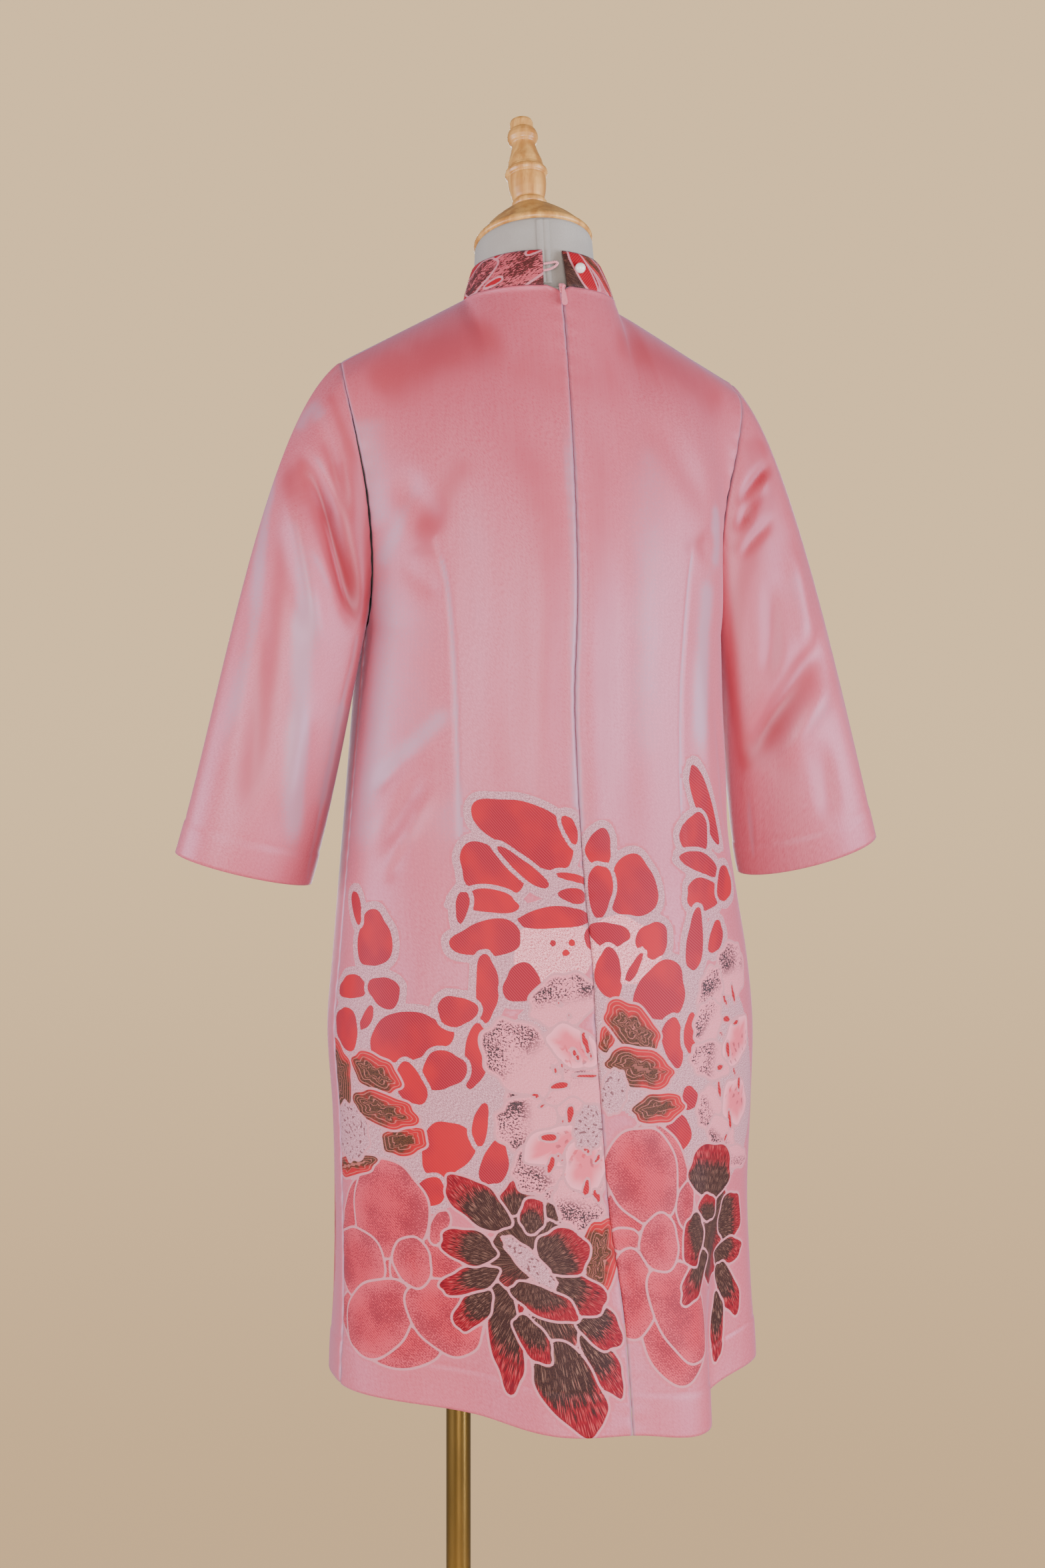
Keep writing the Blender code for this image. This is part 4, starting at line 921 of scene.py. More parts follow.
def add_sleeves(finishes):
    for name, side in (("sleeve_left", 1), ("sleeve_right", -1)):
        points = sleeve_points(side)
        if side > 0:
            points = points[:, ::-1]
        across, up = lengths(points)
        folds = SLEEVE_DEPTH * fold_relief(points, SLEEVE_FOLDS[side])
        relief = folds + stitched_lines(points, (SLEEVE_SEAMS[side],))
        relief += edge_relief(up, across, 0.4) + hem_relief(up[-1:] - up, CUFF_HEM_DEPTH)
        relief[:, -1] = relief[:, 0]
        normals = outward(points, ring=True)
        normals[:, -1] = normals[:, 0]
        shaped = points + normals * relief[..., None]
        # Painted shade and sheen on the sleeve, with painted highlights along the armhole and the sleeve's
        # seam
        shot_and_painted_light = painted_light_of(points, folds, SLEEVE_PAINTED_LIGHT[side], True) + SLEEVE_SEAM_HIGHLIGHT * painted_seam_highlights(up)
        shot_and_painted_light += SLEEVE_SEAM_HIGHLIGHT * painted_seam_highlights(from_line(points, course(SLEEVE_SEAMS[side]))[0])
        shaped, across, up, shot_and_painted_light = turned_in(shaped, normals, across, up, shot_and_painted_light)
        piece = cloth_piece(name, shaped, across, up, finishes, {"shot_and_painted_light": shot_and_painted_light}, ring=True)


def collar_points():
    """The collar from its left centre back end, round the front, to the right one."""
    quarter = COLLAR_COLUMNS // 4
    low, high = [], []
    for side, back in ((1, True), (1, False), (-1, False), (-1, True)):
        start = math.asin(COLLAR_END[side] / COLLAR_TOP_SIDE[0]) / (math.pi / 2) if back else 0.0
        around = np.linspace(start, 1, quarter + 1)
        around = around if (side > 0) == back else around[::-1]
        around = around[1:] if low else around
        low.append(collar_edge(side, back, around, False))
        high.append(collar_edge(side, back, around, True))
    low, high = np.concatenate(low), np.concatenate(high)
    low = low + unit(high - low) * COLLAR_GAP
    t = np.linspace(0, 1, COLLAR_ROWS + 1)[:, None, None]
    return low[None] + (high - low)[None] * t


def add_collar(finishes):
    points = collar_points()[:, ::-1]
    across, up = lengths(points)
    height = up[-1:]
    gap = np.minimum(np.minimum(across, across[:, -1:] - across), height - up)
    belly = np.sin(math.pi * up / height)
    relief = COLLAR_ROLL * bell(gap, COLLAR_ROLL_WIDTH) + COLLAR_BELLY * belly
    relief += COLLAR_QUILT * np.sin(across * 2 * math.pi / COLLAR_QUILT_LENGTH) * belly
    shaped = points + outward(points) * (relief + edge_relief(up, across, 0.2))[..., None]
    values = pattern(across - across[:, -1:] / 2, up, COLLAR_BLOOMS, 0)
    piece = cloth_piece("collar", shaped, across, up, finishes, values)


# Woven flowers, laid out on the flat cloth in millimetres: across from the centre back seam towards the
# wearer's left, and up from the floor. Each group has a kind, the panel that it is woven on, the root that
# its petals spread from, and its petals: the middle, two half lengths and the turn of the longer one.
LEFT, RIGHT, FRONT = 1, -1, 2
BACK_BLOOMS = (
    ("lace", FRONT, (-200, 790), (
        (-206, 800, 36, 74, 0), (-196, 730, 40, 40, 0),
    )),
    ("blot", FRONT, (-200, 800), (
        (-186, 908, 22, 12, 100), (-207, 872, 20, 15, 60), (-178, 868, 13, 9, 110),
        (-218, 832, 18, 13, 20),
        (-186, 836, 16, 11, 150), (-200, 796, 20, 14, 90), (-222, 762, 16, 13, 30),
        (-188, 756, 17, 12, 120),
        (-206, 938, 12, 7, 80), (-226, 902, 11, 7, 120),
    )),
    ("mottle", FRONT, (-200, 680), (
        (-205, 660, 70, 40, 90), (-207, 708, 26, 24, 90), (-192, 650, 34, 24, 80),
        (-224, 640, 26, 18, 100),
        (-178, 608, 20, 14, 60),
    )),
    ("lace", LEFT, (100, 800), (
        (190, 830, 44, 52, 20), (140, 780, 56, 62, 0), (84, 790, 50, 56, 0), (40, 800, 52, 70, 0),
        (120, 740, 50, 34, 0), (215, 770, 40, 46, 0),
    )),
    ("lace", RIGHT, (-60, 800), (
        (-40, 830, 50, 60, 0), (-96, 830, 36, 66, 0), (-78, 770, 40, 36, 0), (-130, 800, 50, 84, 0),
    )),
    ("veil", LEFT, (19, 929), (
        (30, 915, 36.8, 26.8, 1),
    )),
    ("veil", RIGHT, (-12, 929), (
        (-29, 913, 40, 27.1, 2),
    )),
    ("blot", LEFT, (6, 947), (
        (46, 1011, 43.4, 23.7, 28), (9, 1013, 12.9, 5.2, 72), (78, 979, 27.9, 20, 25),
        (50, 981, 24.6, 6.1, 41), (82, 955, 26.9, 9.1, 6), (103, 951, 12.9, 5.4, 101),
        (28, 941, 31.4, 9.1, 179), (11, 959, 12.4, 6, 8), (8, 973, 15.8, 3.3, 14),
        (85, 925, 29.7, 14.4, 174), (32, 921, 2.8, 2.7, 1), (16, 921, 2.8, 3.2, 1),
        (22, 913, 3.4, 2.7, 1), (0, 925, 9.2, 4.6, 97),
    )),
    ("blot", RIGHT, (0, 949), (
        (-15, 997, 15.6, 11.7, 106), (-43, 965, 26.9, 22.7, 114), (-13, 963, 21.2, 11.2, 96),
        (-17, 927, 18, 10.5, 11), (-57, 921, 17.1, 13.9, 131),
    )),
    ("blot", LEFT, (52, 875), (
        (89, 885, 26.7, 9.7, 93), (60, 889, 16.8, 14.5, 151), (156, 845, 38.1, 19.2, 165),
        (114, 867, 15.6, 12.8, 180), (100, 831, 27.3, 10.1, 104),
        (128, 819, 18.8, 15.5, 142), (156, 807, 17.3, 12.4, 74),
    )),
    ("blot", LEFT, (200, 895), (
        (183, 923, 24.7, 17.1, 106), (201, 949, 13.4, 6.7, 75), (212, 883, 20.8, 9.8, 176),
        (175, 881, 16.2, 11.9, 15), (193, 859, 11.3, 5.2, 124), (221, 849, 18.6, 17.3, 69),
    )),
    ("blot", RIGHT, (-42, 889), (
        (-14, 895, 21, 11.9, 85), (-37, 899, 13.3, 4.1, 126), (-62, 879, 28.1, 21.8, 148),
        (-71, 837, 20.6, 10.7, 81), (-89, 843, 16.6, 6.5, 100), (-85, 789, 10.6, 8.7, 91),
        (-66, 761, 18.5, 18.2, 129),
    )),
    ("blot", RIGHT, (-143, 945), (
        (-127, 1033, 36.9, 10.6, 65), (-113, 1007, 19.6, 16.4, 112),
        (-118, 983, 24.1, 9.2, 17), (-118, 957, 22.8, 13.4, 2), (-150, 965, 12.9, 15.8, 49),
        (-101, 919, 25.7, 9.6, 107), (-127, 921, 16, 7.8, 125),
    )),
    ("blot", LEFT, (100, 801), (
        (130, 755, 25, 20.9, 123), (101, 775, 17.5, 6.4, 104), (92, 743, 19.9, 10.6, 109),
        (148, 719, 15.4, 11.4, 150),
    )),
    ("mottle", LEFT, (170, 661), (
        (196, 660, 74, 52, 100), (206, 604, 54, 30, 5), (150, 640, 44, 40, 60),
        (187, 703, 43, 35.9, 127), (227, 655, 30.5, 31.4, 110), (211, 612, 40.9, 28.7, 146),
        (150, 617, 36, 28.7, 54), (142, 691, 15.8, 7.8, 116), (170, 661, 21, 17, 108),
    )),
    ("mottle", RIGHT, (-41, 673), (
        (-40, 690, 84, 44, 92), (-46, 610, 50, 38, 80),
        (-34, 729, 41.6, 33.5, 88), (-10, 677, 15.5, 10.8, 4), (-10, 633, 35.6, 20.2, 97),
        (-54, 617, 47.2, 27, 73), (-74, 701, 19.9, 11.2, 104), (-41, 673, 23.5, 19.2, 111),
    )),
    ("dark", LEFT, (68, 663), (
        (60, 711, 30.8, 22, 21),
    )),
    ("pale", LEFT, (10, 771), (
        (36, 800, 40, 52, 20), (30, 750, 40, 44, 0),
        (26, 875, 31.2, 20.5, 157), (64, 829, 34.8, 28.9, 40), (64, 775, 27.2, 22.7, 1),
        (56, 741, 25.4, 20.3, 123), (25, 709, 23.5, 21.1, 64),
    )),
    ("rose", LEFT, (10, 771), (
        (20, 837, 25.1, 15.6, 36), (40, 757, 29, 16.7, 163), (17, 741, 24.1, 19.2, 110),
    )),
    ("pale", RIGHT, (-157, 807), (
        (-147, 893, 26.2, 22.2, 135), (-115, 873, 24.9, 16.1, 104),
        (-110, 851, 20.8, 15.5, 134), (-113, 819, 27.3, 16.2, 5),
        (-107, 779, 18.4, 16.5, 105), (-123, 751, 18.7, 22.5, 135),
        (-145, 733, 27.4, 10.2, 8),
    )),
    ("rose", RIGHT, (-157, 807), (
        (-149, 833, 24.8, 17.7, 143), (-144, 781, 21.6, 20.2, 76),
    )),
    ("scarlet", RIGHT, (-157, 807), (
        (-133, 868, 7.0, 2.2, 60), (-146, 872, 9.0, 2.4, 76), (-134, 852, 6.0, 3.0, 6),
        (-148, 848, 5.0, 2.2, 170),
        (-134, 826, 8.0, 3.0, 86), (-122, 812, 5.0, 2.6, 172), (-120, 794, 8.0, 2.4, 84),
        (-143, 806, 6.0, 2.0, 62),
        (-150, 796, 7.0, 2.4, 92), (-134, 766, 9.0, 2.6, 80), (-126, 840, 3.4, 1.6, 40),
        (-128, 752, 4.4, 2.0, 120),
    )),
    ("core", LEFT, (10, 771), (
        (12, 771, 19.8, 13.6, 110),
    )),
    ("scarlet", LEFT, (10, 771), (
        (37, 819, 4.6, 1.9, 62), (31, 822, 3.6, 1.6, 70), (34, 806, 8.6, 3.2, 176),
        (54, 798, 3.8, 2.2, 20),
        (50, 790, 3.2, 1.8, 150), (27, 783, 8.2, 3.0, 98), (34, 777, 4.4, 1.6, 55),
        (46, 764, 7.4, 3.6, 4),
        (46, 742, 9.0, 2.8, 112), (38, 747, 4.0, 1.6, 65), (18, 722, 8.0, 2.8, 104),
        (10, 715, 6.4, 2.4, 70),
        (19, 831, 6.2, 2.4, 62), (9, 838, 12.0, 2.6, 76), (11, 813, 12.0, 2.0, 4),
        (6, 746, 5.6, 2.0, 124),
        (15, 752, 4.4, 2.0, 50), (30, 872, 3.0, 1.6, 40), (22, 862, 2.6, 1.4, 60),
    )),
    ("ember", RIGHT, (-12, 801), (
        (-10, 845, 16, 7.5, 110), (-33, 851, 29.1, 18.4, 38), (-53, 783, 26.6, 13.3, 180),
        (-38, 817, 33.4, 17.1, 12),
    )),
    ("core", RIGHT, (-12, 801), (
        (-12, 799, 18.2, 12.4, 105),
    )),
    ("ember", LEFT, (227, 761), (
        (249, 803, 38.4, 30.8, 135), (189, 815, 26.7, 15.9, 15), (226, 735, 34.3, 10.3, 168),
        (166, 761, 22.3, 12.8, 170), (184, 785, 32.9, 15.3, 8),
    )),
    ("core", LEFT, (227, 761), (
        (226, 763, 26.1, 25.2, 36),
    )),
    ("dark", RIGHT, (-102, 677), (
        (-112, 672, 44, 28, 95),
        (-110, 725, 23.8, 30.5, 103), (-142, 681, 22.2, 20.4, 119),
        (-141, 651, 23.5, 11.8, 173), (-145, 619, 29.3, 12.4, 53), (-76, 641, 30.4, 12, 141),
        (-79, 671, 23.4, 14.7, 109), (-139, 587, 31.5, 9.4, 77),
        (-103, 695, 12.3, 12.9, 110),
    )),
    ("ember", LEFT, (68, 663), (
        (15, 665, 33, 19, 110),
    )),
    ("dark", LEFT, (71, 659), (
        (72, 655, 50, 42, 150), (50, 612, 46, 30, 60),
        (23, 582, 31.6, 13.7, 64), (23, 611, 24.6, 15.9, 53), (53, 564, 45.3, 23.9, 55),
        (102, 602, 44.3, 15.3, 89), (79, 601, 23.5, 11.5, 61), (126, 623, 22.6, 12.3, 132),
        (125, 647, 26.3, 11.1, 165), (121, 675, 24.2, 14.8, 13), (109, 711, 29.9, 17.2, 38),
        (40, 637, 27.7, 17.6, 22), (66, 631, 30.1, 12.2, 22), (65, 701, 14.8, 11.2, 105),
        (44, 671, 23, 19.6, 12),
    )),
    ("core", LEFT, (68, 659), (
        (73, 663, 27.4, 8.6, 47),
    )),
)
COLLAR_BLOOMS = (
    ("dust", LEFT, (150, -12), (
        (200, 16, 34, 36, 80), (160, 20, 44, 34, 0), (20, 20, 30, 34, 0),
    )),
    ("scarlet", LEFT, (150, -12), (
        (108, 12, 30, 30, 60), (60, 20, 34, 32, 0), (191, 38, 8, 5, 150), (176, 33, 6.5, 3.6, 10),
        (165, 39, 6, 3.2, 160), (160, 6, 8, 3.4, 20), (143, 34, 7, 3.8, 40),
    )),
    ("dust", LEFT, (170, 20), (
        (134, 16, 17, 17, 20),
    )),
    ("dark", RIGHT, (-206, 22), (
        (-190, 21, 36, 24, 90), (-110, 20, 46, 40, 0), (-40, 20, 44, 40, 0),
    )),
    ("scarlet", RIGHT, (-170, 0), (
        (-177, 18, 26, 8.5, 70), (-128, 20, 30, 14, 95), (-80, 24, 26, 15, 70), (-26, 16, 26, 16, 110),
    )),
    ("ember", RIGHT, (-150, 50), (
        (-154, 17, 25, 9.5, 105), (-104, 16, 22, 10, 80), (-54, 24, 22, 12, 100),
    )),
)
KINDS = ("plain", "mottle", "pale", "rose", "core", "ember", "dark", "scarlet", "dust")
PETAL_EDGES = {
    "lace": (5, 0.05), "veil": (5, 0.06), "blot": (3, 0.09), "mottle": (3, 0.04), "pale": (8, 0.050),
    "rose": (5, 0.06), "core": (9, 0.05), "ember": (6, 0.05), "dark": (5, 0.055),
    "scarlet": (3, 0.07), "dust": (4, 0.04),
}
FAR = 0.05
PETAL_GAP = 0.0036
BAND = 0.0064
BAND_SOFT = 0.0003
OUTLINE = 0.0010
OUTLINE_REACH = 0.0018
VEIL_SOFT = 0.006
VEIL_LEAST = 0.02
PETAL_SWAY = 0.05
PETAL_NICKS = 0.015
FAN_ROOT = 0.006
FAN_STEP = 0.37
TINY = 1e-9


def petals(blooms, panel):
    """Each petal in turn: its kind, its flower's root, its middle, half lengths and turn, and its number."""
    number = 0
    for kind, part, root, rows in blooms:
        for row in rows:
            number += 1
            if panel in (0, part):
                across, up, long, wide = (size / PER_METRE for size in row[:4])
                turn = math.radians(row[4])
                yield kind, np.array(root) / PER_METRE, (across, up), long, wide, turn, number


def slope(value, girth, height):
    """How fast the value changes over the cloth."""
    along = np.gradient(value, axis=1) / (np.gradient(girth, axis=1) + 1e-12)
    up = np.gradient(value, axis=0) / (np.gradient(height, axis=0) + 1e-12)
    return np.hypot(along, up) + 1e-3


def pattern(girth, height, blooms, panel):
    """Where each point lies in the woven flowers. blot is the depth in the plain red petals, below zero
    outside them. For the other kinds edge is the distance to the nearest outline, inside the depth in the
    petal, tip how far out along it, fan the turn round the flower's root, kind its place in KINDS and
    owner its number. Panel 0 has every group."""
    shape = girth.shape
    values = {"blot": np.full(shape, -FAR), "edge": np.full(shape, FAR)}
    for key in ("inside", "tip", "fan", "veil", "kind", "owner"):
        values[key] = np.zeros(shape)
    for kind, root, middle, long, wide, turn, number in petals(blooms, panel):
        cos, sin = math.cos(turn), math.sin(turn)
        gap_across, gap_up = girth - middle[0], height - middle[1]
        a = (gap_across * cos + gap_up * sin) / long
        b = (gap_up * cos - gap_across * sin) / wide
        bearing = np.arctan2(b, a)
        lobes, depth = PETAL_EDGES[kind]
        bound = 1 + depth * np.cos(lobes * bearing + number * 1.7)
        bound += PETAL_SWAY * np.cos(2 * bearing + number * 2.3)
        bound += PETAL_NICKS * np.cos((lobes + 4) * bearing + number)
        room = bound - np.hypot(a, b) - TINY
        deep = np.minimum(room / slope(room, girth, height), wide)
        within = deep > 0
        if kind == "lace":
            values["blot"] = np.where(within, np.maximum(values["blot"], -BAND / 2), values["blot"])
            continue
        if kind == "blot":
            gap = min(PETAL_GAP, wide)
            values["blot"] = np.maximum(np.maximum(deep, -FAR), np.minimum(values["blot"], -deep - gap))
            continue
        if kind == "veil":
            values["veil"] = np.maximum(values["veil"], np.clip(deep / VEIL_SOFT + 0.5, 0, 1))
            continue
        out = middle - root
        out = out / (np.linalg.norm(out) + TINY)
        size = TINY + math.hypot(long * (out[0] * cos + out[1] * sin), wide * (out[1] * cos - out[0] * sin))
        ahead, beside = girth - root[0], height - root[1]
        parts = {
            "inside": deep,
            "tip": np.clip(0.5 + 0.5 * (gap_across * out[0] + gap_up * out[1]) / size, 0, 1),
            "fan": FAN_STEP * number + np.arctan2(
                beside * out[0] - ahead * out[1], ahead * out[0] + beside * out[1] + FAN_ROOT
            ),
            "kind": KINDS.index(kind),
            "owner": number,
        }
        values["edge"] = np.where(within, deep, np.minimum(values["edge"], np.maximum(-deep, 0)))
        for key, value in parts.items():
            values[key] = np.where(within, value, values[key])
    return values


class Finish:
    """A finish that is made of nodes, with short ways to add nodes and join them."""

    def __init__(self, name):
        self.material = bpy.data.materials.new(name)
        self.material.use_nodes = True
        self.tree = self.material.node_tree
        self.shader = self.tree.nodes["Principled BSDF"]

    def node(self, kind, **settings):
        made = self.tree.nodes.new(kind)
        for key, value in settings.items():
            setattr(made, key, value)
        return made

    def feed(self, socket, value):
        if isinstance(value, bpy.types.NodeSocket):
            self.tree.links.new(value, socket)
        elif isinstance(value, tuple) and socket.type == "RGBA":
            socket.default_value = (*value, 1)
        else:
            socket.default_value = value

    def maths(self, operation, *values):
        made = self.node("ShaderNodeMath", operation=operation)
        for socket, value in zip(made.inputs, values):
            self.feed(socket, value)
        return made.outputs[0]

    def ramp(self, value, low, high, start=0.0, end=1.0):
        """The value carried smoothly from the range low..high to start..end."""
        made = self.node("ShaderNodeMapRange", interpolation_type="SMOOTHSTEP")
        turned = low > high
        low, high, start, end = (high, low, end, start) if turned else (low, high, start, end)
        keys = "Value", "From Min", "From Max", "To Min", "To Max"
        for key, given in zip(keys, (value, low, high, start, end)):
            self.feed(made.inputs[key], given)
        return made.outputs["Result"]

    def times(self, *values):
        total = values[0]
        for value in values[1:]:
            total = self.maths("MULTIPLY", total, value)
        return total

    def mix(self, share, one, two):
        made = self.node("ShaderNodeMix", data_type="RGBA")
        for socket, value in ((made.inputs[0], share), (made.inputs[6], one), (made.inputs[7], two)):
            self.feed(socket, value)
        return made.outputs[2]

    def value(self, name):
        return self.node("ShaderNodeAttribute", attribute_name=name).outputs["Fac"]

    def scaled(self, source, scale, turn=(0, 0, 0), move=(0, 0, 0)):
        mapping = self.node("ShaderNodeMapping")
        self.feed(mapping.inputs["Vector"], source)
        mapping.inputs["Scale"].default_value = scale
        mapping.inputs["Rotation"].default_value = turn
        mapping.inputs["Location"].default_value = move
        return mapping.outputs[0]

    def cloth(self, across, up, turn=0.0):
        """The piece's flat map in metres, turned and then scaled."""
        flat = self.node("ShaderNodeUVMap", uv_map="cloth").outputs[0]
        return self.scaled(self.scaled(flat, (1, 1, 1), (0, 0, turn)), (across, up, 1))

    def place(self, scale=(1, 1, 1), turn=(0, 0, 0), move=(0, 0, 0)):
        return self.scaled(self.node("ShaderNodeTexCoord").outputs["Object"], scale, turn, move)

    def noise(self, vector, detail=2.0, rough=0.5, scale=1.0, twist=0.0):
        made = self.node("ShaderNodeTexNoise")
        self.feed(made.inputs["Vector"], vector)
        settings = {"Scale": scale, "Detail": detail, "Roughness": rough, "Distortion": twist}
        for key, value in settings.items():
            made.inputs[key].default_value = value
        return made.outputs["Fac"]

    def bump(self, height, strength, distance):
        made = self.node("ShaderNodeBump")
        made.inputs["Strength"].default_value = strength
        made.inputs["Distance"].default_value = distance
        self.feed(made.inputs["Height"], height)
        return made.outputs["Normal"]

    def set(self, **values):
        for key, value in values.items():
            self.feed(self.shader.inputs[key.replace("_", " ")], value)
        return self.material


SATIN_GLOSS = {
    "IOR": 1.75, "Sheen_Weight": 0.25, "Sheen_Roughness": 0.45, "Roughness": 0.50,
    "Sheen_Tint": (0.66, 0.68, 1.0), "Specular_Tint": (0.66, 0.76, 1.0),
}
FLOWER_GLOSS = {
    "IOR": 1.28, "Sheen_Weight": 0.07, "Sheen_Roughness": 0.45, "Roughness": 0.55,
    "Sheen_Tint": (0.72, 0.72, 1.0), "Specular_Tint": (0.80, 0.80, 1.0),
}
CORAL = (0.54, 0.072, 0.098)
CORAL_DEEP = (0.44, 0.044, 0.064)
CORAL_PALE = (0.57, 0.125, 0.170)
# Colours of the painted shade (coral, deeper coral) and of the painted sheen (lilac) on the satin
PAINTED_SHADE_CORAL = (0.430, 0.040, 0.054)
PAINTED_SHEEN_LILAC = (0.425, 0.185, 0.245)
PAINTED_DEEP_SHADE = (0.380, 0.014, 0.022)


def satin_tone(f):
    """The plain satin: a coral warp with a lilac weft, in fine uneven threads, and over it painted shade in
    coral and painted sheen in lilac.
    """
    grain = f.noise(f.cloth(900, 330, 0.7), 3.0, 0.75)
    slub = f.noise(f.cloth(520, 14), 2.0, 0.5)
    tone = f.mix(f.ramp(grain, 0.30, 0.68), CORAL_DEEP, CORAL_PALE)
    tone = f.mix(f.ramp(slub, 0.40, 0.72, 0.0, 0.30), tone, CORAL_PALE)
    tone = f.mix(f.ramp(f.noise(f.cloth(9, 5), 2.0), 0.35, 0.65, 0.0, 0.35), tone, CORAL)
    # A random drift and the grain break up the painted shade and sheen, which are mixed in below
    drift = f.maths("SUBTRACT", f.noise(f.cloth(38, 30), 3.0, 0.6), 0.5)
    shot_and_painted_light = f.maths("ADD", f.value("shot_and_painted_light"), f.times(drift, 0.55))
    shot_and_painted_light = f.maths("ADD", shot_and_painted_light, f.times(f.maths("SUBTRACT", grain, 0.5), 2.0))
    tone = f.mix(f.ramp(shot_and_painted_light, 0.05, 1.25, 0.0, 0.95), tone, PAINTED_SHADE_CORAL)
    tone = f.mix(f.ramp(shot_and_painted_light, 1.2, 2.6), tone, PAINTED_DEEP_SHADE)
    return f.mix(f.ramp(shot_and_painted_light, -0.05, -1.25, 0.0, 0.90), tone, PAINTED_SHEEN_LILAC), grain


def satin(name):
    f = Finish(name)
    tone, grain = satin_tone(f)
    f.set(Base_Color=tone, Normal=f.bump(grain, 0.22, 0.00015), **SATIN_GLOSS)
    return f.material


def twill(f, pitch, low, high):
    """Fine slanting lines, from 0 to 1."""
    lines = f.cloth(1 / pitch, 0, math.pi / 4)
    across = f.node("ShaderNodeSeparateXYZ")
    f.feed(across.inputs[0], lines)
    return f.ramp(f.maths("SINE", f.times(across.outputs[0], 2 * math.pi)), low, high)


def speckle(f, scale, low, high, patches=35.0, spread=0.45):
    """Small specks that gather in patches."""
    fine = f.noise(f.cloth(scale, scale), 2.0, 0.6)
    wide = f.noise(f.cloth(patches, patches), 2.0, 0.5)
    return f.ramp(f.maths("ADD", fine, f.times(f.maths("SUBTRACT", wide, 0.5), spread)), low, high)


